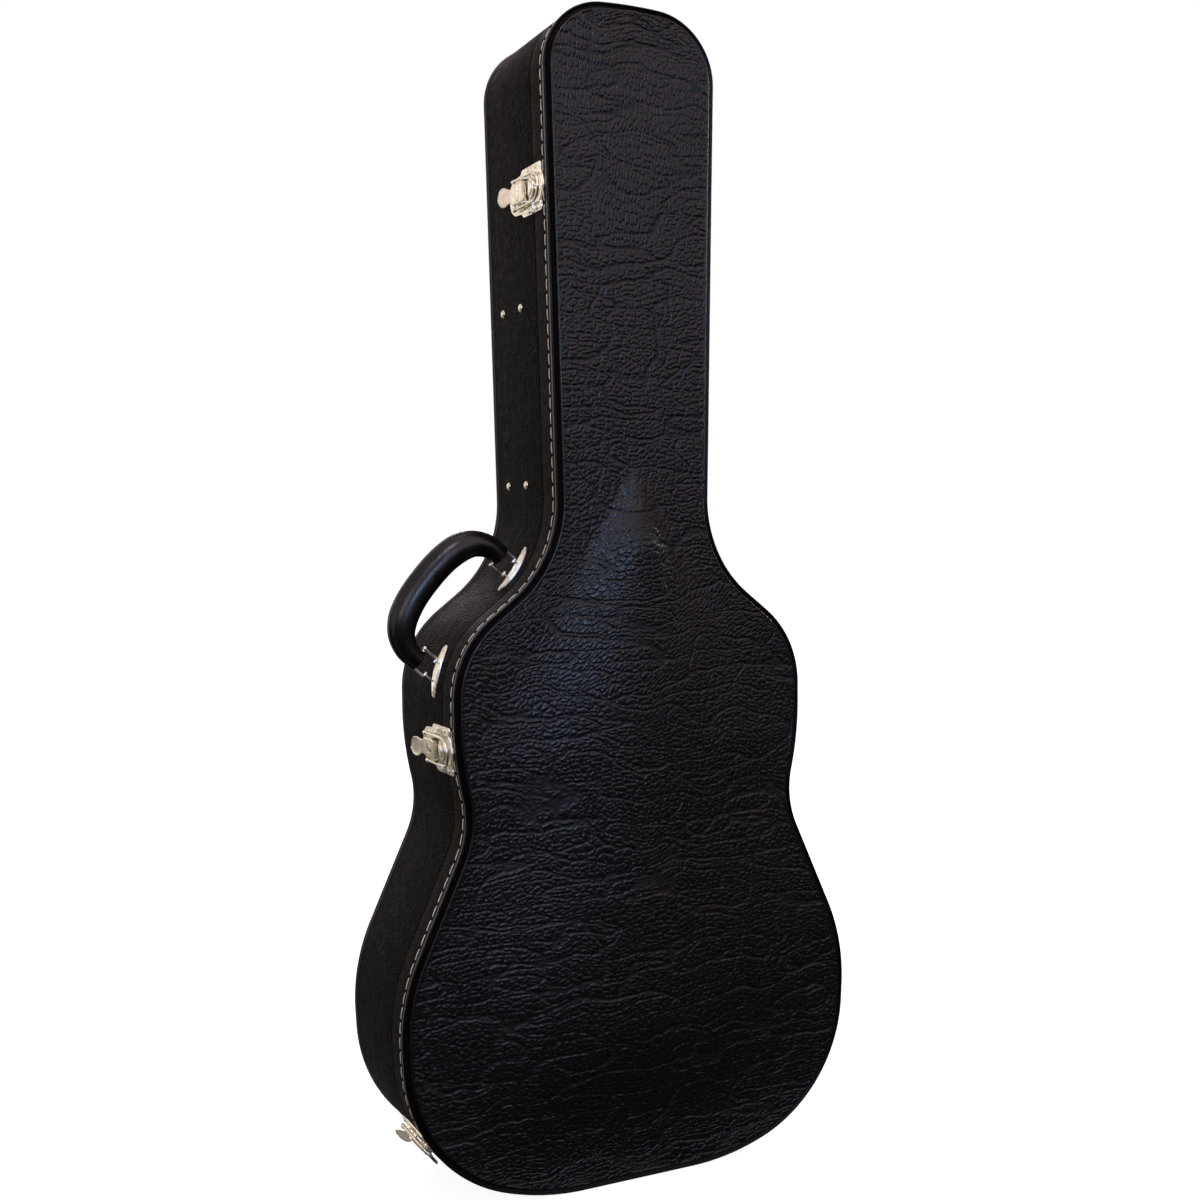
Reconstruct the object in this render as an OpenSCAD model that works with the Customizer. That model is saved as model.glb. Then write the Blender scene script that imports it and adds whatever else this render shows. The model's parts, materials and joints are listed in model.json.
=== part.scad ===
// Hard-shell acoustic guitar case, standing on its bottom end.
// +Z is up towards the headstock end, the arched lid faces -Y, the handle and the latches are on -X
// and the hinges on +X. Millimetres.

/* [Case] */
// Height from the bottom end to the top of the headstock end
case_h = 1100; // [1098:1:1104]
// Depth of the side wall from its front edge to its back edge
side_depth = 155; // [148:1:165]
// Part of the side wall that belongs to the lid
lid_depth = 37.5; // [36:0.5:42]
// Rise of the arched front above its edge
arch_h = 16; // [8:1:18]

/* [Outline] */
// Half width of the headstock end
head_half_w = 89.3; // [87:0.1:92]
// Half width where the neck meets the shoulder
neck_half_w = 78; // [76:0.1:82]
// Height where the neck meets the shoulder
neck_root_z = 592; // [588:1:598]
// Half width of the upper bout
upper_half_w = 181.5; // [178:0.5:186]
// Height of the shoulder corner
shoulder_z = 511; // [506:1:516]
// Half width of the waist
waist_half_w = 166.8; // [164:0.2:170]
// Height of the waist
waist_z = 351.5; // [348:0.5:355]
// Half width of the lower bout
lower_half_w = 235.8; // [232:0.2:240]
// Flat width that the case stands on, each side of the middle
foot_half_w = 58; // [50:1:64]

/* [Shell] */
// Thickness of the plywood and vinyl side wall
wall_t = 5; // [4:0.5:6]
// Width of the bead round the front and back edges
bead_w = 10; // [8:0.5:12]
// How far the bead stands proud of the side wall
bead_proud = 1.2; // [1:0.1:1.5]
// Thickness of the front and back panels
panel_t = 4; // [3:0.5:5]
// Height of the inner lip that stands up into the lid
lip_h = 12; // [8:1:14]

/* [Fittings] */
// Height of the neck latch
neck_latch_z = 932; // [900:1:960]
// Width of each latch plate
latch_w = 44; // [40:1:46]
// Distance between a latch lever's pivot and its bail
latch_throw = 24; // [22:1:26]
// Diameter of the bail wire
bail_d = 2.4; // [2:0.1:2.8]
// Width of each hinge
hinge_w = 40; // [35:1:44]
// Radius of a hinge knuckle
knuckle_r = 4; // [3.5:0.1:4.4]
// Height of the handle's grip above its pivots
grip_rise = 55; // [52:1:60]
// Thickness of the grip at its middle
grip_d = 28; // [24:1:30]

/* [Hidden] */

$fn = 48;
run_fit = 0.05;      // radial clearance of a pin that turns
seam_gap = 0.25;     // half of the gap between base and lid
front_y = -(side_depth + arch_h) / 2 + arch_h;
back_y = front_y + side_depth;
seam_y = front_y + lid_depth;

// ---- Outline: corners of the right half, from the top down, each [x, z, corner radius] ----
crown_r = 480;
RIGHT = [
    [head_half_w, case_h - 4.5, 62.4],
    [neck_half_w, neck_root_z, 113.3],
    [upper_half_w, shoulder_z, 93.5],
    [upper_half_w - 0.3, 413.7, 303.6],
    [waist_half_w, waist_z, 87.4],
    [lower_half_w, 200, 183.8],
    [lower_half_w - 8.3, 45, 142.5],
    [foot_half_w + 40.5, 0, 240]
];
LAST = len(RIGHT) - 1;
LOOP = concat(
    [[0, case_h + 0.9, crown_r]], RIGHT, [for (i = [LAST:-1:0]) [-RIGHT[i].x, RIGHT[i].y, RIGHT[i].z]]);
HEAD = 1; NECK = 2; SHOULDER = 3; UPPER = 4; WAIST = 5; LOWER = 6; CORNER = 7; BOTTOM = 8;

function flat(p) = [p.x, p.y];
function unit(v) = v / norm(v);
function polar(r, a) = r * [cos(a), sin(a)];
// Round of one corner: [centre, radius, start angle, sweep, +1 if it bulges out and -1 if it is hollow]
function round_at(i) = let (
    n = len(LOOP), b = flat(LOOP[i]), r = LOOP[i].z,
    u = unit(flat(LOOP[(i + n - 1) % n]) - b), v = unit(flat(LOOP[(i + 1) % n]) - b),
    half = acos(u * v) / 2, centre = b + unit(u + v) * r / sin(half),
    from = b + u * r / tan(half) - centre, bulge = cross(-u, v) < 0 ? 1 : -1
) [centre, r, atan2(from.y, from.x), -bulge * (180 - 2 * half), bulge];
ROUNDS = [for (i = [0:len(LOOP) - 1]) round_at(i)];

arc_step = 6;
function arc_points(i, inset) = let (c = ROUNDS[i], steps = max(2, ceil(abs(c[3]) / arc_step)))
    [for (k = [0:steps]) c[0] + polar(c[1] - c[4] * inset, c[2] + c[3] * k / steps)];
function loop_points(inset) = [for (i = [0:len(LOOP) - 1]) each arc_points(i, inset)];
// Right half from the crown down, for the rows of the arched panel, without points that nearly coincide
function right_points(inset) = let (
    all = [for (i = [0:LAST + 1]) each [for (p = arc_points(i, inset)) if (p.x > 4) p]]
) [for (k = [0:len(all) - 1]) if (k == 0 || norm(all[k] - all[k - 1]) > 2) all[k]];

// A place on the side wall: [x, z, direction that the wall faces]
function on_round(i, a) = let (c = ROUNDS[i], p = c[0] + polar(c[1], a))
    [p.x, p.y, c[4] > 0 ? a : a + 180];
function on_side(i, z) = let (a = flat(LOOP[i]), b = flat(LOOP[i + 1]), t = (z - a.y) / (b.y - a.y),
    p = a + (b - a) * t) [p.x, z, atan2(b.x - a.x, a.y - b.y)];

module outline(inset) { polygon(loop_points(inset)); }
// Extrudes a shape drawn in X and Z over a range of Y
module slab(y0, y1) { translate([0, y1, 0]) rotate([90, 0, 0]) linear_extrude(y1 - y0) children(); }
module ring(outer, inner, y0, y1) {
    slab(y0, y1) difference() { outline(outer); outline(inner); }
}
// Local axes at a spot: x to the back, z straight out of the wall, origin on the wall at the seam
module at_wall(spot, side = -1) {
    facing = side > 0 ? spot.z : 180 - spot.z;
    translate([side * spot.x, seam_y, spot.y]) rotate([0, -facing, 0]) rotate([90, 0, 90])
        translate([0, 0, -bead_proud]) children();
}
module dome(r, h) {
    big = (r * r + h * h) / (2 * h);
    intersection() {
        translate([0, 0, h - big]) sphere(big);
        translate([-r, -r, 0]) cube([2 * r, 2 * r, h]);
    }
}
module along_y(r, length, x = 0, z = 0) {
    translate([x, length / 2, z]) rotate([90, 0, 0]) cylinder(r = r, h = length);
}

// ---- Where the fittings sit ----
NECK_SPOT = on_side(HEAD, neck_latch_z);
LOCK_SPOT = on_round(UPPER, -5.5);
FOOT_SPOT = on_round(CORNER, -39);
LATCH_SPOTS = [NECK_SPOT, LOCK_SPOT, FOOT_SPOT];
seat_t = 1.4;        // depth that plates are let into the curved wall
skin_t = 1;          // height of a plate above the wall

// Hinge line: touches the lower bout and the headstock corner from outside
hinge_out = 5;
lower_c = ROUNDS[LOWER];
head_c = ROUNDS[HEAD];
gap_v = head_c[0] - lower_c[0];
hinge_tilt = atan2(gap_v.y, gap_v.x) - acos((lower_c[1] - head_c[1]) / norm(gap_v));
hinge_k = lower_c[0] * polar(1, hinge_tilt) + lower_c[1] + hinge_out;
HINGE_SPOTS = [on_round(LOWER, hinge_tilt), on_round(SHOULDER, hinge_tilt)];
function hinge_lift(spot) = hinge_k - flat(spot) * polar(1, hinge_tilt) + bead_proud;

// ---- Shell ----
floor_y = back_y - 1 - panel_t;
pad_t = 8;
module back_panel() { color("#17161a") slab(floor_y, back_y - 1) outline(bead_w); }
module back_bead() { color("#0c0c0d") ring(0, bead_w, back_y - bead_w, back_y); }
module front_bead() { color("#0c0c0d") ring(0, bead_w, front_y, front_y + bead_w); }
module base_rim() {
    color("#1d1b1b") difference() {
        ring(bead_proud, bead_proud + wall_t, seam_y + seam_gap, back_y - bead_w);
        for (s = LATCH_SPOTS) at_wall(s) latch_plate_blank();
        for (s = HINGE_SPOTS) at_wall(s, 1) hinge_leaf_blank(1);
        at_board_rivets() translate([0, 0, -wall_t - 1]) cylinder(r = rivet_r + run_fit, h = wall_t + 2);
    }
}
module lid_rim() {
    color("#211d1c") difference() {
        ring(bead_proud, bead_proud + wall_t, front_y + bead_w, seam_y - seam_gap);
        for (s = LATCH_SPOTS) at_wall(s) catch_plate_blank();
        for (s = HINGE_SPOTS) at_wall(s, 1) hinge_leaf_blank(-1);
    }
}
lip_out = bead_proud + wall_t;
lip_t = 3;
lip_clear = 1.2;     // gap between the lip and the lid's wall
module inner_lip() {
    color("#151314") union() {
        ring(lip_out, lip_out + lip_t, seam_y + seam_gap, back_y - bead_w);
        ring(lip_out + lip_clear, lip_out + lip_t, seam_y - lip_h, seam_y + seam_gap);
    }
}

// Arched front: a ridge that starts on the neck and opens out over the body
apex_z = 684;
function ease(t) = let (c = max(0, min(1, t))) c * c * (3 - 2 * c);
function ridge_half(z) = 0.64 * max(1, apex_z - z);
function arch(x, z, half_w) = let (
    wide = min(ridge_half(z), half_w), t = min(1, abs(x) / wide),
    h = arch_h * ease((apex_z - z) / 90) * ease((z - 12) / 150)
) h * (1 + cos(180 * t)) / 2;
arch_cols = 14;
module front_panel() {
    rows = right_points(bead_w);
    m = len(rows);
    n = arch_cols + 1;
    cells = [for (j = [0:m - 1], k = [0:arch_cols])
        let (x = rows[j].x * (2 * k / arch_cols - 1), z = rows[j].y) [x, z, arch(x, z, rows[j].x)]];
    outer = [for (c = cells) [c.x, front_y + 1 - c.z * (arch_h - 1) / arch_h, c.y]];
    inner = [for (p = outer) [p.x, p.y + panel_t, p.z]];
    count = m * n;
    edge = concat([for (k = [0:n - 1]) k], [for (j = [1:m - 1]) j * n + n - 1],
        [for (k = [n - 2:-1:0]) (m - 1) * n + k], [for (j = [m - 2:-1:1]) j * n]);
    faces = concat(
        [for (j = [0:m - 2], k = [0:n - 2]) each let (a = j * n + k) [
            [a, a + 1, a + n], [a + 1, a + n + 1, a + n],
            [count + a, count + a + n, count + a + 1], [count + a + 1, count + a + n, count + a + n + 1]]],
        [for (e = [0:len(edge) - 1]) each let (a = edge[e], b = edge[(e + 1) % len(edge)])
            [[a, count + a, b], [b, count + a, count + b]]]);
    color("#1a1a22") polyhedron(concat(outer, inner), faces);
}

// ---- Inside ----
lining_in = lip_out + lip_t;
module body_padding() {
    color("#2b2b2e") slab(seam_y + 4, floor_y - pad_t) difference() {
        outline(lining_in);
        offset(r = 8) offset(delta = -8) outline(lining_in + 14);
        translate([-case_h, 590]) square(2 * case_h);
    }
}
module headstock_padding() {
    color("#2b2b2e") slab(seam_y + 4, floor_y - pad_t) intersection() {
        difference() { outline(lining_in); outline(lining_in + 9); }
        translate([-case_h, 833]) square(2 * case_h);
    }
}
module floor_padding() { color("#2b2b2e") slab(floor_y - pad_t, floor_y) outline(bead_w + 0.5); }
module lid_padding() { color("#2b2b2e") slab(front_y + 1 + panel_t, front_y + 9) outline(bead_w + 0.5); }

wall_board_t = 6;
shelf_y = -18;       // top of the compartment's end walls
notch_w = 68;
module cross_board(z0, z1, y0) {
    intersection() {
        slab(y0, floor_y - pad_t) translate([-120, z0]) square([240, z1 - z0]);
        slab(y0, floor_y) outline(lining_in);
    }
}
module neck_cradle() {
    color("#2b2b2e") difference() {
        cross_board(590, 654, seam_y + 2);
        translate([-notch_w / 2, seam_y - 1, 580]) cube([notch_w, 17, 90]);
    }
}
lower_wall_z = 661.5;
upper_wall_z = 829;
module compartment_lower_wall() {
    color("#2b2b2e") cross_board(lower_wall_z - wall_board_t / 2, lower_wall_z + wall_board_t / 2, shelf_y);
}
module compartment_upper_wall() {
    color("#2b2b2e") cross_board(upper_wall_z - wall_board_t / 2, upper_wall_z + wall_board_t / 2, shelf_y);
}
rivet_r = 1.6;
module at_board_rivets() {
    for (side = [-1, 1], z = [lower_wall_z, upper_wall_z], depth = [39.5, 83])
        at_wall(on_side(HEAD, z), side) translate([depth, 0, 0]) children();
}
module compartment_wall_rivets() {
    color("#cfc8bb") at_board_rivets() {
        dome(4, 2);
        translate([0, 0, 0.05 - wall_t]) cylinder(r = rivet_r, h = wall_t);
    }
}
flap_t = 4;
flap_gap = 0.5;
flap_half_w = 65;
module compartment_lid() {
    color("#2b2b2e") slab(shelf_y - flap_gap - flap_t, shelf_y - flap_gap)
        translate([-flap_half_w, lower_wall_z - wall_board_t / 2])
            square([2 * flap_half_w, upper_wall_z - lower_wall_z + wall_board_t]);
}
module compartment_pull_tab() {
    color("#101012") slab(shelf_y - flap_gap - flap_t - 1, shelf_y - flap_gap - flap_t)
        translate([-flap_half_w, (lower_wall_z + upper_wall_z) / 2]) hull() {
            translate([2, -9]) square([1, 18]);
            translate([26, 0]) circle(9);
        }
}

// ---- Latches: drawn at the seam, +x over the base and -x over the lid ----
module latch_plate_blank() {
    translate([0, 0, -seat_t]) linear_extrude(seat_t + skin_t) polygon([
        [0.6, -latch_w / 2], [23, -latch_w / 2], [27, -18], [43, -17], [51, -12], [54, -7],
        [54, 7], [51, 12], [43, 17], [27, 18], [23, latch_w / 2], [0.6, latch_w / 2]]);
}
module catch_plate_blank() {
    translate([0, 0, -seat_t]) linear_extrude(seat_t + skin_t) polygon([
        [-0.6, -latch_w / 2], [-19, -latch_w / 2], [-20.5, -19], [-19.5, -14], [-23, -8], [-26, 0],
        [-23, 8], [-19.5, 14], [-20.5, 19], [-19, latch_w / 2], [-0.6, latch_w / 2]]);
}
pivot_x = 10;
pivot_z = 5.2;
hook_x = pivot_x + latch_throw;
pin_r = 1;
lever_half_w = 9;
ear_in = 9.6;
ear_t = 1.6;
bail_half_w = 13;
bail_r = bail_d / 2;
module latch_plate() {
    color("#cfc8bb") difference() {
        union() {
            latch_plate_blank();
            for (s = [-1, 1]) translate([pivot_x, s * (ear_in + ear_t / 2), 0]) {
                translate([-3, -ear_t / 2, -seat_t]) cube([6, ear_t, pivot_z + seat_t]);
                along_y(3, ear_t, 0, pivot_z);
            }
        }
        along_y(pin_r, 40, pivot_x, pivot_z);
    }
}
module latch_catch() {
    color("#cfc8bb") union() {
        catch_plate_blank();
        linear_extrude(3.5) intersection() {
            translate([-6, 0]) circle(9.5);
            translate([-20, -12]) square([19, 24]);
        }
    }
}
lever_z = 4.2;
lever_t = 2.4;
tab_r = 9;
tab_tilt = 28;
lock_x = 22;
lock_r = 4;
module latch_lever(with_lock = false) {
    color("#d8d2c6") difference() {
        union() {
            translate([pivot_x - 2, -lever_half_w, lever_z]) cube([hook_x + 4 - pivot_x, 2 * lever_half_w, lever_t]);
            translate([hook_x + 2, 0, lever_z]) rotate([0, -tab_tilt, 0]) {
                translate([0, -6.5, 0]) cube([tab_r, 13, lever_t]);
                translate([tab_r, 0, 0]) cylinder(r = tab_r, h = lever_t);
            }
            along_y(2.9, 2 * lever_half_w, pivot_x, pivot_z);
            along_y(2.4, 2 * lever_half_w, hook_x, pivot_z);
        }
        along_y(pin_r + run_fit, 40, pivot_x, pivot_z);
        for (s = [-1, 1]) translate([0, s * 10, 0]) along_y(bail_r + run_fit, 11, hook_x, pivot_z);
        if (with_lock) translate([lock_x, 0, 0]) cylinder(r = lock_r + run_fit, h = 12);
    }
}
module latch_bail() {
    loop_x = -9;
    color("#d8d2c6") union() {
        for (s = [-1, 1]) {
            translate([loop_x, s * bail_half_w, pivot_z]) rotate([0, 90, 0])
                cylinder(r = bail_r, h = hook_x - loop_x);
            translate([hook_x, s * bail_half_w, pivot_z]) sphere(bail_r);
            translate([0, s * (bail_half_w + 5) / 2, 0]) along_y(bail_r, bail_half_w - 5, hook_x, pivot_z);
        }
        translate([loop_x, 0, pivot_z]) rotate([0, 0, 90]) rotate_extrude(angle = 180)
            translate([bail_half_w, 0]) circle(bail_r);
    }
}
module lock_barrel() {
    color("#b9b2a4") difference() {
        union() {
            translate([lock_x, 0, 2.9]) cylinder(r = lock_r, h = 4.6);
            translate([lock_x - 3, -2, 2]) cube([11, 4, 0.9]);
        }
        translate([lock_x - 2.5, -0.5, 6]) cube([5, 1, 3]);
    }
}
module latch_pivot_pins() {
    color("#d8d2c6") for (s = LATCH_SPOTS) at_wall(s) along_y(pin_r, 2 * (ear_in + ear_t), pivot_x, pivot_z);
}
module latch_plate_rivets() {
    color("#e0dbd0") for (s = LATCH_SPOTS) at_wall(s) {
        for (side = [-1, 1]) translate([8, side * 18.4, skin_t]) dome(2.5, 1.2);
        for (side = [-1, 1]) translate([46, side * 9, skin_t]) dome(1.8, 0.9);
    }
}
module catch_rivets() {
    color("#e0dbd0") for (s = LATCH_SPOTS, side = [-1, 1])
        at_wall(s) translate([-9, side * 18.4, skin_t]) dome(2.5, 1.2);
}

// ---- Handle: swings on a line through the lugs of its two plates ----
handle_depth = 20.5; // from the seam back to the middle of the handle
upper_mount = on_round(NECK, 215.3);
lower_mount = on_round(SHOULDER, 16.3);
function lifted(spot, h) = [-spot.x, spot.y] + polar(h, 180 - spot.z);
swing_a = lifted(upper_mount, 6);
swing_b = lifted(lower_mount, 6.5);
swing_dir = unit(swing_b - swing_a);
swing_mid = (swing_a + swing_b) / 2;
swing_half = norm(swing_b - swing_a) / 2;
swing_angle = atan2(swing_dir.y, swing_dir.x);
handle_y = seam_y + handle_depth;
lug_off = 8;
lug_t = 3;
wire_r = 1.3;
// Local axes of the handle: x along the swing line downwards, z straight out of the case
module at_handle() {
    translate([swing_mid.x, handle_y, swing_mid.y]) rotate([0, -swing_angle, 0]) rotate([180, 0, 0]) children();
}
handle_plate_t = 1.4;
module handle_plate(spot, end) {
    half_len = 25;
    color("#cfc8bb") difference() {
        union() {
            intersection() {
                slab(handle_y - 9, handle_y + 9) outline(bead_proud - handle_plate_t);
                at_wall(spot) translate([handle_depth, 0, -6]) linear_extrude(16) polygon([
                    [-2, -half_len], [2, -half_len], [7, -9], [7, 9], [2, half_len], [-2, half_len],
                    [-7, 9], [-7, -9]]);
            }
            at_handle() for (s = [-1, 1]) translate([end * swing_half + s * lug_off, 0, 0])
                rotate([0, 90, 0]) translate([0, 0, -lug_t / 2]) cylinder(r = 3, h = lug_t);
            at_handle() for (s = [-1, 1])
                translate([end * swing_half + s * lug_off - lug_t / 2, -3, -14]) cube([lug_t, 6, 14]);
        }
        at_handle() translate([end * swing_half - 11, 0, 0]) rotate([0, 90, 0])
            cylinder(r = wire_r + run_fit, h = 22);
        // Nothing of the plate or its lugs reaches inside the wall
        slab(handle_y - 15, handle_y + 15) outline(bead_proud);
    }
}
module handle_plate_screws() {
    color("#e0dbd0") for (m = [[upper_mount, ROUNDS[NECK]], [lower_mount, ROUNDS[SHOULDER]]], s = [-1, 1])
        let (c = m[1], turn = s * 20 / c[1] * 180 / PI, a = (c[4] > 0 ? m[0].z : m[0].z + 180) + turn,
             p = c[0] + polar(c[1], a))
            at_wall([p.x, p.y, c[4] > 0 ? a : a + 180]) translate([handle_depth, 0, handle_plate_t + 0.2]) dome(2.4, 1);
}
grip_end_r = 10;
GRIP_PATH = [[-1, 12], [-1, 20], [-0.97, 30], [-0.86, grip_rise - 14], [-0.68, grip_rise - 6.5],
    [-0.45, grip_rise - 2.2], [-0.22, grip_rise - 0.4], [0, grip_rise]];
function mirrored_path(p) = concat(p, [for (i = [len(p) - 2:-1:0]) [-p[i].x, p[i].y]]);
module handle_grip() {
    path = [for (p = mirrored_path(GRIP_PATH)) [p.x * (swing_half + 2), p.y]];
    n = len(path);
    sides = 12;
    function tangent(i) = unit(path[min(n - 1, i + 1)] - path[max(0, i - 1)]);
    function grip_r(i) = grip_end_r + (grip_d / 2 - grip_end_r) * ease(min(i, n - 1 - i) / 5);
    rings = [for (i = [0:n - 1], k = [0:sides - 1]) let (t = tangent(i), r = grip_r(i), a = 360 * k / sides,
        side = r * cos(a)) [path[i].x - t.y * side, r * sin(a), path[i].y + t.x * side]];
    faces = concat(
        [for (i = [0:n - 2], k = [0:sides - 1]) let (a = i * sides + k, b = i * sides + (k + 1) % sides)
            [a, b, b + sides, a + sides]],
        [[for (k = [sides - 1:-1:0]) k], [for (k = [0:sides - 1]) (n - 1) * sides + k]]);
    color("#0e0e10") at_handle() polyhedron(rings, faces);
}
module handle_links() {
    reach = 16;
    color("#d8d2c6") at_handle() for (end = [-1, 1]) translate([end * swing_half, 0, 0]) {
        for (s = [-1, 1]) {
            leg = s * (lug_off + lug_t / 2 + 0.4 + wire_r);
            translate([leg, 0, 0]) cylinder(r = wire_r, h = reach);
            translate([leg, 0, 0]) sphere(wire_r);
            translate([leg, 0, reach]) sphere(wire_r + 0.8);
            translate([min(leg, s * 5), 0, 0]) rotate([0, 90, 0]) cylinder(r = wire_r, h = abs(leg) - 5);
        }
        translate([-lug_off - 3, 0, reach]) rotate([0, 90, 0]) cylinder(r = wire_r, h = 2 * lug_off + 6);
    }
}

// ---- Hinges: local y runs along the pin ----
leaf_len = 22;
knuckle_gap = 0.3;
knuckles = 5;
hinge_pin_r = 1.6;
module hinge_leaf_blank(side) {
    translate([side > 0 ? 0.6 : -leaf_len, -hinge_w / 2, -seat_t]) cube([leaf_len - 0.6, hinge_w, seat_t + skin_t]);
}
module hinge_leaf(spot, side) {
    lift = hinge_lift(spot);
    pitch = hinge_w / knuckles;
    bore = hinge_pin_r + (side > 0 ? 0 : run_fit);
    color("#cfc8bb") difference() {
        union() {
            hinge_leaf_blank(side);
            for (k = [side > 0 ? 0 : 1 : 2 : knuckles - 1])
                translate([0, -hinge_w / 2 + k * pitch + knuckle_gap / 2, 0]) {
                    translate([0, pitch - knuckle_gap, lift]) rotate([90, 0, 0])
                        cylinder(r = knuckle_r, h = pitch - knuckle_gap);
                    translate([side > 0 ? 0.8 : -3.6, 0, 0]) cube([2.8, pitch - knuckle_gap, lift]);
                }
        }
        along_y(bore, 2 * hinge_w, 0, lift);
    }
}
module hinge_base_leaves() { for (s = HINGE_SPOTS) at_wall(s, 1) hinge_leaf(s, 1); }
module hinge_lid_leaves() { for (s = HINGE_SPOTS) at_wall(s, 1) hinge_leaf(s, -1); }
module hinge_pins() {
    color("#b9b2a4") for (s = HINGE_SPOTS) at_wall(s, 1) along_y(hinge_pin_r, hinge_w + 1, 0, hinge_lift(s));
}
module hinge_rivets(side) {
    color("#e0dbd0") for (s = HINGE_SPOTS, k = [-1, 1])
        at_wall(s, 1) translate([side * 15, k * 12, skin_t]) dome(2.8, 1.3);
}

back_panel();
base_rim();
back_bead();
inner_lip();
body_padding();
headstock_padding();
floor_padding();
neck_cradle();
compartment_lower_wall();
compartment_upper_wall();
compartment_wall_rivets();
at_wall(NECK_SPOT) latch_plate();  // neck_latch_plate
at_wall(LOCK_SPOT) latch_plate();  // lock_latch_plate
at_wall(FOOT_SPOT) latch_plate();  // foot_latch_plate
latch_pivot_pins();
latch_plate_rivets();
handle_plate(upper_mount, -1);  // handle_upper_plate
handle_plate(lower_mount, 1);  // handle_lower_plate
handle_plate_screws();
hinge_base_leaves();
hinge_pins();
hinge_rivets(1);  // hinge_base_rivets
lid_rim();
front_panel();
front_bead();
lid_padding();
at_wall(NECK_SPOT) latch_catch();  // neck_latch_catch
at_wall(LOCK_SPOT) latch_catch();  // lock_latch_catch
at_wall(FOOT_SPOT) latch_catch();  // foot_latch_catch
catch_rivets();
hinge_lid_leaves();
hinge_rivets(-1);  // hinge_lid_rivets
at_wall(NECK_SPOT) latch_lever();  // neck_latch_lever
at_wall(LOCK_SPOT) latch_lever(true);  // lock_latch_lever
at_wall(FOOT_SPOT) latch_lever();  // foot_latch_lever
at_wall(NECK_SPOT) latch_bail();  // neck_latch_bail
at_wall(LOCK_SPOT) latch_bail();  // lock_latch_bail
at_wall(FOOT_SPOT) latch_bail();  // foot_latch_bail
at_wall(LOCK_SPOT) lock_barrel();  // lock_cylinder
handle_grip();
handle_links();
compartment_lid();
compartment_pull_tab();
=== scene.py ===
"""Looks of the guitar case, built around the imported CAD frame.

Lengths are in millimetres until a mesh is made.
"""
import json
import math

import bmesh
import bpy
import numpy as np
from mathutils import Matrix, Vector
from mathutils.kdtree import KDTree


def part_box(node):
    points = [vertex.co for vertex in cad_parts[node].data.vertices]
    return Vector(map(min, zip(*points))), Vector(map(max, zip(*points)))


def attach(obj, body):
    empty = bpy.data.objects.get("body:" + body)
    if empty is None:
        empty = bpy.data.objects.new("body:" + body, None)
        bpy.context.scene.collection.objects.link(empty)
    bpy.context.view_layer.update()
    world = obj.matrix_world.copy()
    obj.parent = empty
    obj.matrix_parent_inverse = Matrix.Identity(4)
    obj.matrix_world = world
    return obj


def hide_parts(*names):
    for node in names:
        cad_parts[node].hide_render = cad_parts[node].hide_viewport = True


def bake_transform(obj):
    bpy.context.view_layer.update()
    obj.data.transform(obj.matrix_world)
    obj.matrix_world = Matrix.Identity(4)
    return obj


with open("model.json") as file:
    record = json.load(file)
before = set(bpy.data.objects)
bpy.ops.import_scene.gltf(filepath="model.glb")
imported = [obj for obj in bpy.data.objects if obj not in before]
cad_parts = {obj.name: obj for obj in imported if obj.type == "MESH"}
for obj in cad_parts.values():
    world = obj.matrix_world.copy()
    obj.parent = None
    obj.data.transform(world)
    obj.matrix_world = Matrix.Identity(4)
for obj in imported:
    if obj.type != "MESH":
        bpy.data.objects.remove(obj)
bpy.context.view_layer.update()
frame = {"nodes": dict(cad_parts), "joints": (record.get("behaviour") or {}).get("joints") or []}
MM = 0.001
UP_Y = np.array([0.0, 1.0, 0.0])


def new_object(name, data):
    obj = bpy.data.objects.new(name, data)
    bpy.context.scene.collection.objects.link(obj)
    return obj


def box_mm(node):
    low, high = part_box(node)
    return np.array(low) / MM, np.array(high) / MM


# ---- camera
CAMERA_AT = (-0.6292, -1.29255, 0.61817)
LOOK_ALONG = Vector((0.43457, 0.89939, -0.04742))
CAMERA_UP = Vector((0.02891, 0.03869, 0.99883))
LENS = 44.2


def add_camera():
    data = bpy.data.cameras.new("camera")
    data.lens = LENS
    data.sensor_width = 36
    data.clip_start, data.clip_end = 0.05, 60
    camera = new_object("camera", data)
    back = -LOOK_ALONG.normalized()
    right = CAMERA_UP.cross(back).normalized()
    up = back.cross(right)
    camera.matrix_world = Matrix.Translation(CAMERA_AT) @ Matrix((right, up, back)).transposed().to_4x4()
    bpy.context.scene.camera = camera


# ---- places from the frame
FRONT = box_mm("front_bead")[0][1]
BACK = box_mm("back_bead")[1][1]
SEAM = (box_mm("lid_rim")[1][1] + box_mm("base_rim")[0][1]) / 2
CASE_H = box_mm("front_bead")[1][2]
PROUD = 1.2          # how far the beads stand out from the side wall
BEAD = 10.0          # width of a bead
SUNK = 1.0           # how far the panels lie behind the fronts of the beads
ARCH = FRONT + SUNK - box_mm("front_panel")[0][1]
FLOOR_TOP = box_mm("floor_padding")[0][1]
FLOOR_BOTTOM = box_mm("floor_padding")[1][1]

NECK_FOOT_R, SHOULDER_R, UPPER_SIDE_R, CORNER_R = 113.3, 93.5, 303.6, 142.5
# Corners of the right half of the outline, from the top down: x, z, corner radius
RIGHT = [(89.3, CASE_H - 4.5, 62.4), (78, 592, NECK_FOOT_R), (181.5, 511, SHOULDER_R),
         (181.2, 413.7, UPPER_SIDE_R), (166.8, 351.5, 87.4), (235.8, 200, 183.8), (227.5, 45, CORNER_R),
         (98.5, 0, 240)]
LOOP = [(0, CASE_H + 0.9, 480)] + RIGHT + [(-x, z, r) for x, z, r in reversed(RIGHT)]


def unit(v):
    return v / np.linalg.norm(v)


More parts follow.
